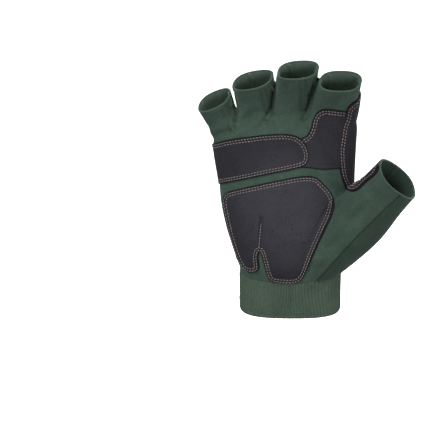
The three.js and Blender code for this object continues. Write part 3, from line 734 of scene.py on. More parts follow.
def grained_leather(name, low, mid, high, middle_light):
    """Polyurethane synthetic leather, embossed with a pebble grain: satin, lighter on the grain tops."""
    m = new_material(name)
    place = add(m, "ShaderNodeTexCoord")
    warp = add(m, "ShaderNodeTexNoise",
               inputs={"Vector": (place, "Object"), "Scale": texture_scale(2.0), "Detail": 2.0})
    bent = add(m, "ShaderNodeMixRGB", {"blend_type": "ADD"},
               {"Fac": 0.0008, "Color1": (place, "Object"), "Color2": (warp, "Color")})
    # grain pebbles about 0.95 mm across
    pebbles = add(m, "ShaderNodeTexVoronoi", {"feature": "DISTANCE_TO_EDGE"},
                  {"Vector": (bent, "Color"), "Scale": texture_scale(0.952)})
    fine = add(m, "ShaderNodeTexNoise",
               inputs={"Vector": (place, "Object"), "Scale": texture_scale(0.4), "Detail": 2.0})
    clouds = add(m, "ShaderNodeTexNoise",
                 inputs={"Vector": (place, "Object"), "Scale": texture_scale(11.1), "Detail": 4.0})
    crease = add(m, "ShaderNodeValToRGB", {"stops": [(0.0, 0.35), (0.14, 0.9), (0.5, 1.0)]},
                 {"Fac": (pebbles, "Distance")})
    height = add(m, "ShaderNodeMath", {"operation": "MULTIPLY_ADD"},
                 {0: (fine, "Fac"), 1: 0.25, 2: (crease, "Color")})
    tone = add(m, "ShaderNodeMath", {"operation": "MULTIPLY_ADD"},
               {0: (clouds, "Fac"), 1: 0.8, 2: (crease, "Color")})
    base_leather = add(m, "ShaderNodeValToRGB", {"stops": [(0.3, low), (0.85, mid), (1.0, high)]},
                {"Fac": (tone, "Value")})
    lit_leather = add(m, "ShaderNodeValToRGB", {"stops": [(0.3, "#1a191e"), (0.85, "#26252b"), (1.0, "#333238")]},
                 {"Fac": (tone, "Value")})
    # painted highlight: the middle of the palm is painted paler, fading out from 14 mm to 55 mm
    away = add(m, "ShaderNodeVectorMath", {"operation": "DISTANCE"},
               {0: (place, "Object"), 1: [k * MM for k in PALM_MIDDLE]})
    light_share = add(m, "ShaderNodeMapRange", {"interpolation_type": "SMOOTHSTEP"},
               {"Value": (away, "Value"), "From Min": 14 * MM, "From Max": 55 * MM,
                "To Min": middle_light, "To Max": 0.0})
    colour = add(m, "ShaderNodeMixRGB", {"blend_type": "MIX"},
                 {"Fac": (light_share, "Result"), "Color1": (base_leather, "Color"), "Color2": (lit_leather, "Color")})
    rough = add(m, "ShaderNodeValToRGB", {"stops": [(0.0, 0.7), (1.0, 0.48)]}, {"Fac": (crease, "Color")})
    return cloth_shader(m, (colour, "Color"), (rough, "Color"), 0.03, "#77767c", (height, "Value"), 0.2, 0.12)


def terry():
    """Cotton terry: dense loops of black yarn, matt and rough with a broken outline."""
    m = new_material("black_terry")
    place = add(m, "ShaderNodeTexCoord")
    # yarn loops about 1 mm across
    loops = add(m, "ShaderNodeTexVoronoi", {"feature": "F1"},
                {"Vector": (place, "Object"), "Scale": texture_scale(1.0)})
    yarn = add(m, "ShaderNodeTexNoise",
               inputs={"Vector": (place, "Object"), "Scale": texture_scale(0.5), "Detail": 3.0})
    height = add(m, "ShaderNodeMath", {"operation": "SUBTRACT"}, {0: (yarn, "Fac"), 1: (loops, "Distance")})
    colour = add(m, "ShaderNodeValToRGB", {"stops": [(0.0, "#2c2b31"), (0.6, "#19181d"), (1.0, "#0d0d10")]},
                 {"Fac": (loops, "Distance")})
    return cloth_shader(m, (colour, "Color"), 1.0, 0.3, "#56555c", (height, "Value"), 0.7, 0.1)


def hook_fabric():
    """Nylon hook-and-loop fabric: tiny stiff hooks in rows, black and matt with pin-point lights."""
    m = new_material("nylon_hook_fabric")
    place = add(m, "ShaderNodeTexCoord")
    # hooks stand about 1.1 mm apart
    hooks = add(m, "ShaderNodeTexVoronoi", {"feature": "F1"},
                {"Vector": (place, "Object"), "Scale": texture_scale(1.11), "Randomness": 0.6})
    fuzz = add(m, "ShaderNodeTexNoise",
               inputs={"Vector": (place, "Object"), "Scale": texture_scale(0.556), "Detail": 4.0})
    height = add(m, "ShaderNodeMath", {"operation": "SUBTRACT"}, {0: (fuzz, "Fac"), 1: (hooks, "Distance")})
    colour = add(m, "ShaderNodeValToRGB", {"stops": [(0.0, "#1b1a1f"), (0.5, "#121116"), (1.0, "#09090b")]},
                 {"Fac": (hooks, "Distance")})
    return cloth_shader(m, (colour, "Color"), 0.85, 0.12, "#4a4950", (height, "Value"), 0.6, 0.25)


def woven_tape(name, low, high, rough, sheen):
    """Woven tape or ribbon: fine weft rows with a faint silky light along the yarns."""
    m = new_material(name)
    place = add(m, "ShaderNodeTexCoord")
    # weft rows are about 0.45 mm apart; drawn at 0.9 mm so that they show
    rows = add(m, "ShaderNodeTexWave", {"wave_type": "BANDS", "bands_direction": "DIAGONAL"},
               {"Vector": (place, "Object"), "Scale": band_scale(0.9), "Distortion": 0.6, "Detail": 1.0})
    yarn = add(m, "ShaderNodeTexNoise",
               inputs={"Vector": (place, "Object"), "Scale": texture_scale(0.769), "Detail": 2.0})
    tone = add(m, "ShaderNodeMath", {"operation": "MULTIPLY_ADD"},
               {0: (rows, "Fac"), 1: 0.4, 2: (yarn, "Fac")})
    colour = add(m, "ShaderNodeValToRGB", {"stops": [(0.4, low), (0.95, high)]}, {"Fac": (tone, "Value")})
    return cloth_shader(m, (colour, "Color"), rough, sheen, "#9aa597", (tone, "Value"), 0.18, 0.3)


def polyester_thread():
    """Twisted polyester sewing thread in copper brown: slight gloss on each raised stitch."""
    m = new_material("twisted_polyester_thread")
    place = add(m, "ShaderNodeTexCoord")
    # the twist shows as tone patches about 0.7 mm long
    twist = add(m, "ShaderNodeTexNoise",
                inputs={"Vector": (place, "Object"), "Scale": texture_scale(0.667), "Detail": 1.0})
    colour = add(m, "ShaderNodeValToRGB", {"stops": [(0.3, "#6a605d"), (0.7, "#978c86")]},
                 {"Fac": (twist, "Fac")})
    return cloth_shader(m, (colour, "Color"), 0.6, 0.1, "#c9bab0", (twist, "Fac"), 0.05, 0.4)


PALM_SUEDE = suede("green_palm_suede", "#24312b", "#33433b", "#425348")
# the thumb's outer panel is its own suede, painted darker for the shade on the thumb's side that turns from
# the light
THUMB_SUEDE_PAINTED_SHADE = suede("thumb_suede_painted_shade", "#1d2822", "#29372f", "#36463d")
# painted highlight: the rolled rim edges take the palm suede painted lighter, for the light line along the
# rims
HEM_SUEDE_PAINTED_LIGHT = suede("hem_suede_painted_highlight", "#2b3931", "#3a4a41", "#485a4f")
# painted light: the inner faces are painted lighter than the outer suede, for the light that reaches the
# inner walls of the finger tubes
LINING_PAINTED_LIGHT = suede("inner_face_painted_light", "#4a5b50", "#5d6f63", "#708376")
# painted shade: the inner faces inside the thumb take a much darker lining, for the shade deep inside the
# thumb
THUMB_LINING_PAINTED_SHADE = suede("thumb_lining_painted_shade", "#202b25", "#2c3932", "#39483f")
KNIT = ribbed_knit()
CUFF_ELASTIC = elastic("knitted_cuff_elastic", "#2f3c32", "#445447")
STRAP_ELASTIC = elastic("woven_strap_elastic", "#3c4b41", "#4f6052")
# the last value sets how much paler the palm's middle is painted, a painted highlight
LEATHER = grained_leather("pebbled_synthetic_leather", "#111014", "#1a191e", "#25242a", 1.0)
# painted shade: the edge band outside the stitching is painted near black, for the shade along the pads'
# edges
PAD_EDGE_PAINTED_SHADE = grained_leather("pad_edge_painted_shade", "#09080a", "#0d0c0f", "#131216", 0.0)
TERRY = terry()
HOOKS = hook_fabric()
TAPE = woven_tape("olive_binding_tape", "#3a453b", "#515d4f", 0.8, 0.2)
RIBBON = woven_tape("black_woven_ribbon", "#0e0d10", "#1a191d", 0.6, 0.06)
THREAD = polyester_thread()

# skin, and the fields that part it into panels
points, triangles = merged_skin()
points = relax(points, triangles, 14)


def finger_coordinates(name, where):
    """Sideways, depth and outward distance from a finger's rim centre."""
    centre, axis, side, depth = rim_frame(name)
    offset = where - centre
    return offset @ side, offset @ depth, offset @ axis


def rim_field(where):
    """Negative past the rim of the nearest finger; 12 mm below the rims no finger is cut."""
    best = np.full(len(where), FAR)
    field = np.full(len(where), 50.0)
    for name in FINGERS:
        u, w, t = finger_coordinates(name, where)
        row = FINGERS[name]["rows"][-1]
        u = u - FINGERS[name]["lean"] * w
        if name == "thumb":
            t = t + THUMB_RIM_SLANT * u
        size = np.hypot(u / row[3], w / row[4])
        near = (size < best) & (t > -12)
        best = np.where(near, size, best)
        field = np.where(near & (size < 1.5), -t, field)
    return field


def side_field(where):
    """Positive on the palm side of the side seams."""
    heights, depths = np.array(SIDE_SEAM, float).T
    return np.interp(where[:, 2], heights, depths) - where[:, 1]


def front_weight(where, width):
    """Near 1 on the palm side and 0 on the back, with a soft step of this width."""
    return 1 / (1 + np.exp(-side_field(where) / width))


def tilted_height(where):
    """Height as the camera sees it, square to its tilted view."""
    return where[:, 1] * math.sin(TILT) + where[:, 2] * math.cos(TILT)


def upright_height(tilted, y):
    """The true height of a place on the tilted drawing that lies at depth y."""
    return (tilted - y * math.sin(TILT)) / math.cos(TILT)


def tilted_edge(outline, where):
    """Distance inward from an outline on the tilted drawing."""
    return polygon_distance(outline, where[:, 0], tilted_height(where))


def fourchette_field(name, where):
    """Positive inside the side strip of a gap between two fingers."""
    (z0, l0, r0, y0, s0), (z1, l1, r1, y1, s1) = FOURCHETTES[name]
    t = (where[:, 2] - z0) / (z1 - z0)
    y = where[:, 1]
    left = (l0 + (y - y0) * s0) * (1 - t) + (l1 + (y - y1) * s1) * t
    right = (r0 + (y - y0) * s0) * (1 - t) + (r1 + (y - y1) * s1) * t
    return np.minimum(np.minimum(where[:, 0] - left, right - where[:, 0]), where[:, 2] - z0)


def terry_side(u, w):
    """Positive on the thumb's back, behind the leather band along its upper side."""
    return w - 1.0 - 4.5 * np.clip((-u - 4) / 8, 0, 1)


def wipe_field(where):
    """Positive inside the terry panel on the thumb's back."""
    u, w, t = finger_coordinates("thumb", where)
    # its lower end slants, higher on the side toward the fingers
    lower_end = t + WIPE_LENGTH - 2.4 * np.clip(u, -18, 2) / -10 + 1.2
    wipe = np.minimum(np.minimum(terry_side(u, w), 2.0 - u), lower_end)
    return np.minimum(wipe, 22 - np.abs(u))


def thumb_back_field(where):
    """Positive inside the thumb's outer suede panel, whose colour is painted darker for shade, down to the
    cuff.
    """
    u, w, t = finger_coordinates("thumb", where)
    # only points near the thumb's tube count as its back
    near = np.minimum(np.minimum(24 - np.abs(u), t + 66), 30 - np.abs(w))
    seen_from_front = np.minimum(tilted_edge(THUMB_SEAM, where), side_field(where) + 0.4)
    upright = polygon_distance(THUMB_BACK, where[:, 0], where[:, 2])
    return np.maximum(seen_from_front, np.minimum(np.minimum(upright, w), near))


skin = (points, triangles, np.zeros((len(points), 1)))
skin, _ = clip(skin, rim_field(skin[0]))
skin, _ = clip(skin, skin[0][:, 2] - (CUFF_HEIGHT + 0.2))
skin = largest(skin, 2000)
skin_normals = normals_of(skin[0], skin[1])
skin_tree = point_tree(skin[0])
rims = boundary_loops(skin[1])
rim_points = np.vstack([skin[0][chain] for chain in rims])

panels = {}
panels["thumb_wipe_panel"], rest = clip(skin, wipe_field(skin[0]))
panels["thumb_back_panel"], rest = clip(rest, thumb_back_field(rest[0]))
for name in FOURCHETTES:
    panels["fourchette_" + name], rest = clip(rest, fourchette_field(name, rest[0]))
panels["palm_panel"], panels["back_panel"] = clip(rest, side_field(rest[0]))
panels = {name: largest(cloth, 80) for name, cloth in panels.items()}


def skin_normal(where):
    """The direction off the skin at the nearest of its points."""
    return np.array([skin_normals[skin_tree.find(p)[1]] for p in where])


def slotted(cloth_points):
    """Presses the cloth back between neighbouring fingers, so that a narrow dark slot parts them."""
    x, v = cloth_points[:, 0], tilted_height(cloth_points)
    back = np.zeros(len(cloth_points))
    for x1, v1, x2, v2, depth in SLOTS:
        t, away = along_segment(x, v, x1, v1, x2, v2)
        deep = depth * (0.45 + 0.55 * np.clip(t / 0.25, 0, 1)) * np.clip(t / 0.06, 0, 1)
        narrow = np.exp(-(away / (1.35 + 0.65 * t)) ** 2)
        back = np.maximum(back, deep * narrow + 0.9 * np.exp(-(away / 3.2) ** 2))
    from_rim = np.clip((nearest_distance(cloth_points, rim_points) - 1.0) / 5.0, 0, 1)
    moved = cloth_points.copy()
    moved[:, 1] += back * front_weight(cloth_points, 1.0) * from_rim
    return moved


def folded(cloth_points, normals):
    """Shallow valleys where the suede gathers below the fingers and round the thumb."""
    x, v = cloth_points[:, 0], tilted_height(cloth_points)
    drop = np.zeros(len(cloth_points))
    for x1, v1, x2, v2, width, depth in FOLDS:
        t, away = along_segment(x, v, x1, v1, x2, v2)
        fade = np.sin(np.pi * np.clip(t, 0.08, 0.92)) ** 0.6
        ridges = 0.45 * np.exp(-((away - 2.2 * width) / width) ** 2)
        drop += 1.3 * depth * fade * (np.exp(-(away / width) ** 2) - ridges)
    return slotted(cloth_points) - normals * (drop * front_weight(cloth_points, 1.5))[:, None]


# each panel's material and slot name
PANEL_LOOKS = {
    "palm_panel": (PALM_SUEDE, "palm_suede"), "back_panel": (KNIT, "ribbed_knit"),
    "thumb_back_panel": (THUMB_SUEDE_PAINTED_SHADE, "thumb_suede"), "thumb_wipe_panel": (TERRY, "terry"),
    "fourchette_index_middle": (PALM_SUEDE, "fourchette_suede"),
    "fourchette_middle_ring": (PALM_SUEDE, "fourchette_suede"),
    "fourchette_ring_little": (PALM_SUEDE, "fourchette_suede"),
}
for name, (cloth_points, cloth_tris, _) in panels.items():
    material, slot = PANEL_LOOKS[name]
    normals = skin_normal(cloth_points)
    pairs, counts = edges_of(cloth_tris)
    open_ids = np.unique(pairs[counts == 1])
    seam_ids = open_ids[nearest_distance(cloth_points[open_ids], rim_points) > 0.3]
    seam = nearest_distance(cloth_points, cloth_points[seam_ids])
    groove = SEAM_DEPTH * np.exp(-(seam / SEAM_WIDTH) ** 2)
    groove -= RIDGE_HEIGHT * np.exp(-((seam - RIDGE_PLACE) / RIDGE_WIDTH) ** 2)
    pile = TERRY_PILE if name == "thumb_wipe_panel" else 0.0
    outer = folded(cloth_points, normals)
    outer = outer + normals * (pile * np.clip(seam / 1.2, 0, 1) - groove)[:, None]
    shell_points, shell_tris = thick(outer, outer - normals * CLOTH_WALL, cloth_tris)
    obj = piece(name, shell_points, shell_tris, material, slot, (name,))
    obj.data.materials.append(LINING_PAINTED_LIGHT)
    # the inner face and the cut edges take the lining, painted lighter for the light inside the finger tubes;
    # inside the thumb they take a darker lining, painted shade
    lining = np.zeros(len(shell_tris), np.int32)
    lining[len(cloth_tris):] = 1
    if name != "back_panel":
        obj.data.materials.append(THUMB_LINING_PAINTED_SHADE)
        thumb_shade_faces = shell_points[shell_tris].mean(axis=1)[:, 0] > 43
        lining[(lining == 1) & thumb_shade_faces] = 2
    obj.data.polygons.foreach_set("material_index", lining)

# rolled edge of each finger rim; the cuff hides the lowest one
hems = []
for chain in rims:
    path = skin[0][chain]
    if path[:, 2].mean() < CUFF_HEIGHT + 5:
        continue
    normals = skin_normals[chain]
    at, up, _ = resampled(np.vstack([path, path[:1]]), np.vstack([normals, normals[:1]]), 0.9)
    for _ in range(4):
        at = at * 0.5 + (np.roll(at, 1, axis=0) + np.roll(at, -1, axis=0)) * 0.25
    # the roll stands square to the plane that the rim lies in
    axis = unit(np.linalg.svd(at - at.mean(axis=0))[2][2])
    up = unit(up - (up @ axis)[:, None] * axis)
    hems.append(rolled_edge(at - up * 0.5, up, HEM_HALF_WIDTH, HEM_HALF_HEIGHT))
# the hems' suede is painted lighter, a painted highlight along the rims
piece("finger_hems", *join_parts(hems), HEM_SUEDE_PAINTED_LIGHT, "palm_suede")


# palm pads
stitch_chains = []
upper_outline, heel_outline = rounded(UPPER_PAD, 1), rounded(HEEL_PAD, 1)
index_outline, crotch_outline = rounded(INDEX_PAD, 1), rounded(CROTCH_FRONT, 1)
crotch_back_outline = rounded(CROTCH_BACK, 1)


def pad_height(edge, thickness, puff, rise):
    """How far a pad stands off the skin, by the distance in from its edge: a rounded edge, a padded
    middle, and a groove under each stitch row."""
    wall = np.sqrt(np.clip(1 - (1 - np.clip(edge / PAD_EDGE_RADIUS, 0, 1)) ** 2, 0, 1))
    height = PAD_FOOT + (thickness - PAD_FOOT) * wall + rise
    height += puff * (1 - np.exp(-np.clip(edge - PUFF_START, 0, None) / PUFF_SPREAD))
    for row in STITCH_ROWS:
        height -= 0.2 * np.exp(-((edge - row) / 0.6) ** 2)
    return height + 0.1 * np.exp(-((edge - 4.6) / 0.9) ** 2)


def cut_from_skin(values):
    """The part of the skin where values are positive, in finer triangles."""
    cloth, _ = clip(skin, values)
    return divided(largest(cloth, 200))


def stitched_stretches(path, normals, wanted):
    """The parts of a stitch row where stitches are wanted."""
    if wanted.all():
        return [(path, normals)]
    runs = np.split(np.arange(len(path)), np.nonzero(np.diff(wanted.astype(int)))[0] + 1)
    return [(path[run], normals[run]) for run in runs if wanted[run[0]] and len(run) > 3]


def leather_pad(name, cloth, edge, thickness, puff, rise, stitched=None, shape=None):
    """A pad of leather on the skin with its two stitch rows; edge is the distance in from its
    outline, stitched says where its rows are sewn and shape presses it further."""
    base, tris, extra = cloth
    normals = skin_normal(base)
    outer = folded(base, normals) + normals * pad_height(edge, thickness, puff, rise)[:, None]
    if shape is not None:
        outer = shape(outer, base)
    shell_points, shell_tris = thick(outer, base - normals * 0.35, tris)
    obj = piece(name, shell_points, shell_tris, LEATHER, "pad_leather", (name,))
    count = len(tris)
    # painted shade: outer faces within 1.05 mm of the edge, and the cut sides, take the near-black edge
    # leather
    edge_shade = np.ones(len(shell_tris), int)
    edge_shade[:count] = edge[tris].max(axis=1) < 1.05
    edge_shade[count:2 * count] = 0
    obj.data.materials.append(PAD_EDGE_PAINTED_SHADE)
    obj.data.polygons.foreach_set("material_index", edge_shade)
    for row in STITCH_ROWS:
        for path, facing in iso_lines((outer, tris, extra), edge, row):
            wanted = np.ones(len(path), bool) if stitched is None else stitched(path)
            stitch_chains.extend(stitched_stretches(path, facing, wanted))


def tucked(outer, base):
    """The upper pad thins out where it runs into the side seam."""
    ease = np.clip(1 - side_field(base) / 4.0, 0, 1) ** 2
    return outer - skin_normal(base) * (1.1 * ease)[:, None]


def pinched(outer, base):
    """The stitched dart above the notch draws the heel pad in."""
    x, v = base[:, 0], tilted_height(base)
    away = np.full(len(x), FAR)
    for (x1, v1), (x2, v2) in zip(PINCH[:-1], PINCH[1:]):
        away = np.minimum(away, along_segment(x, v, x1, v1, x2, v2)[1])
    deep = 1.3 * np.exp(-(away / 0.9) ** 2) + 0.8 * np.exp(-(away / 3.5) ** 2)
    deep *= np.clip((v - PINCH[0][1]) / 9.0, 0.15, 1)
    return outer - skin_normal(base) * deep[:, None]


cloth = cut_from_skin(np.minimum(tilted_edge(upper_outline, skin[0]), side_field(skin[0])))
leather_pad("upper_palm_pad", cloth, tilted_edge(upper_outline, cloth[0]),
            thickness=1.15, puff=0.6, rise=0.2, shape=tucked)
cloth = cut_from_skin(np.minimum(tilted_edge(heel_outline, skin[0]), side_field(skin[0])))
leather_pad("heel_pad", cloth, tilted_edge(heel_outline, cloth[0]),
            thickness=1.3, puff=1.7, rise=0.0, shape=pinched)

# a single row of stitches closes the dart; each of its points is brought forward to the pad's face
heel_tree = point_tree([vertex.co / MM for vertex in bpy.data.objects["heel_pad"].data.vertices])
dart = []
for (x1, v1), (x2, v2) in zip(PINCH[:-1], PINCH[1:]):
    for t in np.linspace(0, 1, 12, endpoint=False):
        x, v = x1 + (x2 - x1) * t, v1 + (v2 - v1) * t
        y = -26.0
        for _ in range(6):
            y = heel_tree.find((x, y, upright_height(v, y)))[0][1]
        dart.append((x, y, upright_height(v, y)))
stitch_chains.append((np.array(dart), np.tile([0.0, -1.0, 0.0], (len(dart), 1))))


def crotch_edge(where):
    """Distance in from the edge of the pad that runs round the thumb's crotch to both sides."""
    u, w, t = finger_coordinates("thumb", where)
    front = tilted_edge(crotch_outline, where)
    back = polygon_distance(crotch_back_outline, where[:, 0], where[:, 2])
    side = side_field(where)
    value = np.where(side > 0, front, back)
    blend = np.clip(1 - np.abs(side) / 3.0, 0, 1)
    value = value * (1 - blend) + np.maximum(front, back) * blend
    size = np.hypot(u / 17, w / 14)
    on_thumb_back = np.minimum(np.minimum(terry_side(u, w) + 0.2, (1.4 - size) * 15), t + WIPE_LENGTH)
    return np.minimum(value, -on_thumb_back)


cloth = cut_from_skin(crotch_edge(skin[0]))
leather_pad("thumb_crotch_pad", cloth, crotch_edge(cloth[0]), thickness=1.1, puff=0.1, rise=0.15)


def index_rows(path):
    """The index pad's rows are sewn above the upper pad and left of the crotch pad."""
    return (path[:, 2] > 118) & (path[:, 0] < 37.5)


# the index pad runs 1.5 mm under both of its neighbours
values = np.minimum(tilted_edge(index_outline, skin[0]), side_field(skin[0]))
values = np.minimum(values, 1.5 - tilted_edge(upper_outline, skin[0]))
cloth = cut_from_skin(np.minimum(values, 1.5 - crotch_edge(skin[0])))
leather_pad("index_pad", cloth, tilted_edge(index_outline, cloth[0]),
            thickness=0.9, puff=0.25, rise=0.0, stitched=index_rows)

# cuff
RIBS, POINTS_A_RIB = 84, 10
RIB_DEPTH, INNER_RIB_DEPTH, EDGE_HANG = 0.42, 0.08, 0.9
# profile, from the lower edge up the outside and down the inside: height, distance out
CUFF_PROFILE = [(-0.1, -2.3), (-0.55, -1.5), (-0.55, -0.6), (0.0, 0.0), (0.9, 0.3), (1.9, 0.25),
                (2.4, -0.1), (2.9, 0.15), (4.5, 0.2), (8, 0.15), (13, 0.1), (18, 0.1), (22.5, 0.1),
                (25.3, 0.15), (26.6, 0.0), (27.3, -0.45), (27.4, -1.2), (27.0, -2.0), (20, -2.2),
                (12, -2.2), (5, -2.2)]


def cuff_point(angle, height):
    """A point of the cuff's outline; its lower end is a little squarer than its top."""
    c, s = np.cos(angle), np.sin(angle)
    power = 2.2 + 0.45 * np.clip(1 - height / 18, 0, 1)
    x = np.sign(c) * np.abs(c) ** (2 / power) * CUFF_WIDTH / 2
    y = np.sign(s) * np.abs(s) ** (2 / power) * CUFF_DEPTH / 2
    return np.stack([x, y, np.broadcast_to(height, x.shape)], axis=-1)


around = RIBS * POINTS_A_RIB
fine = np.linspace(0, 2 * math.pi, 4000)
length = running_length(cuff_point(fine, 0.0))
angles = np.interp(np.arange(around) / around * length[-1], length, fine)
phase = np.arange(around) / POINTS_A_RIB * 2 * math.pi
outward = unit(cuff_point(angles, 0.0) * np.array([1, 1.4, 0]))
rings = []
for z, out in CUFF_PROFILE:
    depth = RIB_DEPTH if out > -0.5 and z > 0.5 else INNER_RIB_DEPTH
    wobble = 0.14 * np.sin(angles * 5 + z * 0.1) + 0.08 * np.sin(angles * 11 - z * 0.15)
    shift = out + depth * np.cos(phase) + wobble * (0.4 + z / 40)
    ring = cuff_point(angles, z) + outward * shift[:, None]
    # the sides of the lower edge hang a little
    ring[:, 2] -= EDGE_HANG * np.abs(np.cos(angles)) ** 3 * np.clip(1 - z / 12, 0, 1)
    rings.append(ring)
cuff_faces = ring_faces(len(CUFF_PROFILE), around, closed=True)
piece("cuff_band", np.vstack(rings), cuff_faces, CUFF_ELASTIC, "cuff_elastic", ("cuff_band",))

# wrist strap; its outline gives shares of its length and its width
STRAP_LENGTH, STRAP_WIDTH, STRAP_HANG, STRAP_START = 46.0, 29.0, 3.5, 9.0
STRAP_OUTLINE = [(-0.1, 0.932), (0.03, 0.948), (0.17, 0.98), (0.35, 1.0), (0.7, 0.975), (0.87, 0.9),
                 (0.97, 0.72), (1, 0.46), (0.97, 0.2), (0.9, 0.06), (0.81, 0.007), (0.6, 0),
                 (0.28, 0.017), (0.08, 0.07), (-0.1, 0.145)]
strap_left = -CUFF_WIDTH / 2 - 0.8
strap_outline = rounded([(strap_left + along * STRAP_LENGTH, up * STRAP_WIDTH - STRAP_HANG)
                         for along, up in STRAP_OUTLINE])


def strap_cloth(step=0.55):
    """An even sheet round the back of the cuff that the strap's pieces are cut from."""
    dense = np.linspace(0.05, math.pi - 0.05, 2000)
    length = running_length(cuff_point(dense, 0.0))
    columns = np.interp(np.arange(0, length[-1], step), length, dense)
    grid = np.stack([cuff_point(columns, z) for z in np.arange(-6, 28, step)])
    sheet = grid.reshape(-1, 3)
    out = unit(sheet * np.array([1, 1.6, 0]))
    return sheet, facing_out(sheet, grid_triangles(*grid.shape[:2]), out), out


strap_sheet = strap_cloth()


def strap_piece(name, material, slot, first, last, under, over, crown, relief=None):
    """A layer of the strap from one distance inside its outline to another, between two heights
    over the cuff; crown swells it and relief patterns it."""
    sheet_edge = polygon_distance(strap_outline, strap_sheet[0][:, 0], strap_sheet[0][:, 2])
    value = np.minimum(np.minimum(sheet_edge, strap_sheet[0][:, 1] - STRAP_START), sheet_edge - first)
    cloth, _ = clip(strap_sheet, np.minimum(value, last - sheet_edge))
    sheet, tris, out = largest(cloth, 100)
    out = unit(out)
    edge = polygon_distance(strap_outline, sheet[:, 0], sheet[:, 2])
    inside = np.minimum(edge - first, last - edge)
    round_off = np.sqrt(np.clip(1 - (1 - np.clip(inside / 0.9, 0, 1)) ** 2, 0, 1))
    top = under + (over - under) * (0.35 + 0.65 * round_off)
    top += crown * (1 - np.exp(-np.clip(inside, 0, None) / 2))
    if relief is not None:
        top += relief(sheet) * np.clip(inside / 0.8, 0, 1)
    shell_points, shell_tris = thick(sheet + out * top[:, None], sheet + out * under, tris)
    piece(name, shell_points, shell_tris, material, slot, (name,))


def hook_rows(where):
    """Rows of hooks about 1.1 mm apart."""
    return 0.12 * np.sin(where[:, 0] * 5.6) * np.sin(where[:, 2] * 5.6)


strap_piece("wrist_strap", STRAP_ELASTIC, "strap_elastic",
            first=0.4, last=FAR, under=0.35, over=1.5, crown=0.0)
strap_piece("strap_hook_panel", HOOKS, "hook_loop",
            first=3.6, last=FAR, under=1.5, over=2.35, crown=0.1, relief=hook_rows)
strap_piece("strap_binding", TAPE, "edge_tape",
            first=0.0, last=4.1, under=1.45, over=2.5, crown=0.25)

# tape round the vent, and the two pull loops
back_tree = BVHTree.FromPolygons(skin[0].tolist(), skin[1].tolist())


def on_back(targets):
    """Points of the skin straight in front of (x, z) targets on the back view, with their normals."""
    found, facing = [], []
    for x, z in targets:
        hit = back_tree.ray_cast(Vector((x, 90, z)), Vector((0, -1, 0)))
        if hit[0] is None:
            hit = back_tree.find_nearest(Vector((x, 12, z)))
        found.append(list(hit[0]))
        facing.append(list(hit[1]))
    facing = np.array(facing)
    return np.array(found), np.where((facing[:, 1] < 0)[:, None], -facing, facing)


def tape_along(path, half_width, thickness, bow=0.0, wrapped=False):
    """Flat tape laid on the skin along a path of (x, z) points on the back of the glove. A wrapped
    tape bends round the edge of the hand; any other is stretched flat over the gaps."""
    path = np.array(path, float)
    length = running_length(path)
    steps = max(int(length[-1] / 0.6), 8)
    line = smooth_chain(read_along(path, length, np.linspace(0, length[-1], steps)))
    offsets = np.linspace(-1, 1, 9)
    rows, cols = len(line), len(offsets)
    reach = (offsets * half_width)[None, :, None]
    if wrapped:
        middle, facing = on_back(line)
        middle, facing = smooth_chain(middle, 12), unit(smooth_chain(facing, 30))
        side = unit(np.cross(unit(np.gradient(middle, axis=0)), facing))
        spread = (middle[:, None, :] + side[:, None, :] * reach).reshape(-1, 3)
        laid = np.array([list(back_tree.find_nearest(Vector(p))[0]) for p in spread])
        facing = np.repeat(facing, cols, axis=0)
    else:
        direction = unit(np.gradient(line, axis=0))
        side = np.stack([-direction[:, 1], direction[:, 0]], axis=1)
        laid, facing = on_back((line[:, None, :] + side[:, None, :] * reach).reshape(-1, 2))
        facing = unit(smooth_chain(facing, 2))
    crown = np.sqrt(np.clip(1 - np.abs(np.tile(offsets, rows)) ** 4, 0.0, 1))
    raised = bow * np.sin(np.pi * np.repeat(np.linspace(0, 1, rows), cols))
    outer = laid + facing * (0.1 + raised + thickness * (0.45 + 0.55 * crown))[:, None]
    inner = laid + facing * (0.03 + raised)[:, None]
    return thick(outer, inner, facing_out(outer, grid_triangles(rows, cols), facing))


# paths on the back view: x, z
VENT_TAPES = [[(-41.2, 57.4), (-33.6, 49.2), (-30.5, 39.0), (-28.5, 27.6)],
              [(-41.6, 57.4), (-39.2, 47), (-36.6, 38), (-34.4, 27.6)]]
LOOPS = {"middle_pull_loop": [(-2.2, 166.0), (20.2, 163.8)],
         "ring_pull_loop": [(-26.8, 157.4), (-3.2, 160.3)]}
vents = [tape_along(path, half_width=1.8, thickness=0.8, wrapped=True) for path in VENT_TAPES]
piece("vent_binding", *join_parts(vents), TAPE, "edge_tape", ("vent_binding",))
for name, path in LOOPS.items():
    loop = tape_along(path, half_width=3.8, thickness=0.7, bow=0.4)
    piece(name, *loop, RIBBON, "ribbon", (name,))

# stitching of the pads
piece("pad_stitching", *stitches_along(stitch_chains), THREAD, "pad_leather")

# camera; the picture's own size and the place in it where the target shows are in pixels
PICTURE_SIZE = 430
FOCAL_PIXELS = 1142.9
TARGET_X, TARGET_Y = 290.0, 186.4
TARGET, DISTANCE = Vector((0, 0, 0.09)), 0.8
SENSOR = 36
scene = bpy.context.scene
eye = TARGET + Vector((0, -math.cos(TILT), math.sin(TILT))) * DISTANCE
to_target = (TARGET - eye).normalized()
right = Vector((1, 0, 0))
up = right.cross(to_target)
wanted = (to_target * FOCAL_PIXELS - right * (TARGET_X - PICTURE_SIZE / 2)
          - up * (PICTURE_SIZE / 2 - TARGET_Y)).normalized()
turn = to_target.rotation_difference(wanted)
right, up = turn @ right, turn @ up
camera_data = bpy.data.cameras.new("camera")
camera_data.sensor_width = SENSOR
camera_data.lens = FOCAL_PIXELS / PICTURE_SIZE * SENSOR
camera_data.clip_start, camera_data.clip_end = 0.05, 20
camera = bpy.data.objects.new("camera", camera_data)
scene.collection.objects.link(camera)
camera.matrix_world = Matrix.Translation(eye) @ Matrix((right, up, -wanted)).transposed().to_4x4()
scene.camera = camera
scene.view_settings.view_transform = "Standard"
scene.view_settings.look = "None"

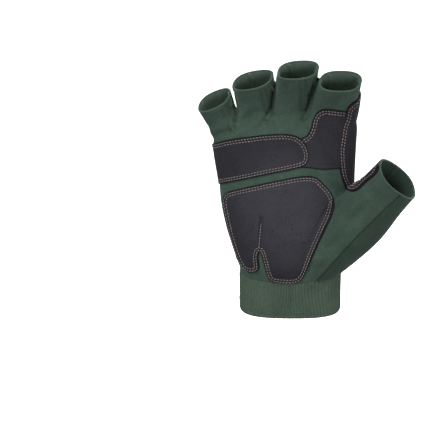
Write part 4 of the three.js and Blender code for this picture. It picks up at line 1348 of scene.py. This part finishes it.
# pale floor, below the glove and past the picture's edges
FLOOR_HALF, FLOOR_Z = 30, -0.3
floor_mesh = bpy.data.meshes.new("floor")
corners = [(x * FLOOR_HALF, y * FLOOR_HALF, FLOOR_Z) for x, y in ((-1, -1), (1, -1), (1, 1), (-1, 1))]
floor_mesh.from_pydata(corners, [], [(0, 1, 2, 3)])
floor = bpy.data.objects.new("floor", floor_mesh)
scene.collection.objects.link(floor)
pale = new_material("pale_floor")
# it glows a little, so that it stays as pale as a lit paper ground
paint = add(pale, "ShaderNodeBsdfPrincipled",
            inputs={"Base Color": linear("#f4f4f4"), "Roughness": 0.9,
                    "Emission Color": linear("#ffffff"), "Emission Strength": 1.0})
add(pale, "ShaderNodeOutputMaterial", inputs={"Surface": (paint, "BSDF")})
floor_mesh.materials.append(pale)
floor.visible_diffuse = floor.visible_glossy = False

# white room, brighter overhead
studio = bpy.data.worlds.new("studio")
studio.use_nodes = True
studio.node_tree.nodes.clear()
toward = add(studio, "ShaderNodeTexCoord")
upward = add(studio, "ShaderNodeSeparateXYZ", inputs={"Vector": (toward, "Generated")})
level = add(studio, "ShaderNodeMapRange",
            inputs={"Value": (upward, "Z"), "From Min": -1.0, "From Max": 1.0,
                    "To Min": 0.4, "To Max": 0.7})
room = add(studio, "ShaderNodeBackground", inputs={"Color": (1, 1, 1, 1), "Strength": (level, "Result")})
add(studio, "ShaderNodeOutputWorld", inputs={"Surface": (room, "Background")})
scene.world = studio
LIT_POINT = Vector((0, 0, 0.1))


def softbox(name, where, size, power):
    """A square soft light that faces the middle of the glove."""
    data = bpy.data.lights.new(name, "AREA")
    data.size = size
    data.energy = power
    lamp = bpy.data.objects.new(name, data)
    lamp.location = where
    lamp.rotation_euler = (LIT_POINT - Vector(where)).to_track_quat("-Z", "Y").to_euler()
    scene.collection.objects.link(lamp)


softbox("key_light", (-0.5, -0.7, 1.3), 0.55, 14.0)
softbox("fill_light", (0.25, -1.1, -0.15), 0.8, 10.0)
softbox("back_light", (0.3, 1.0, 0.8), 0.8, 14.0)
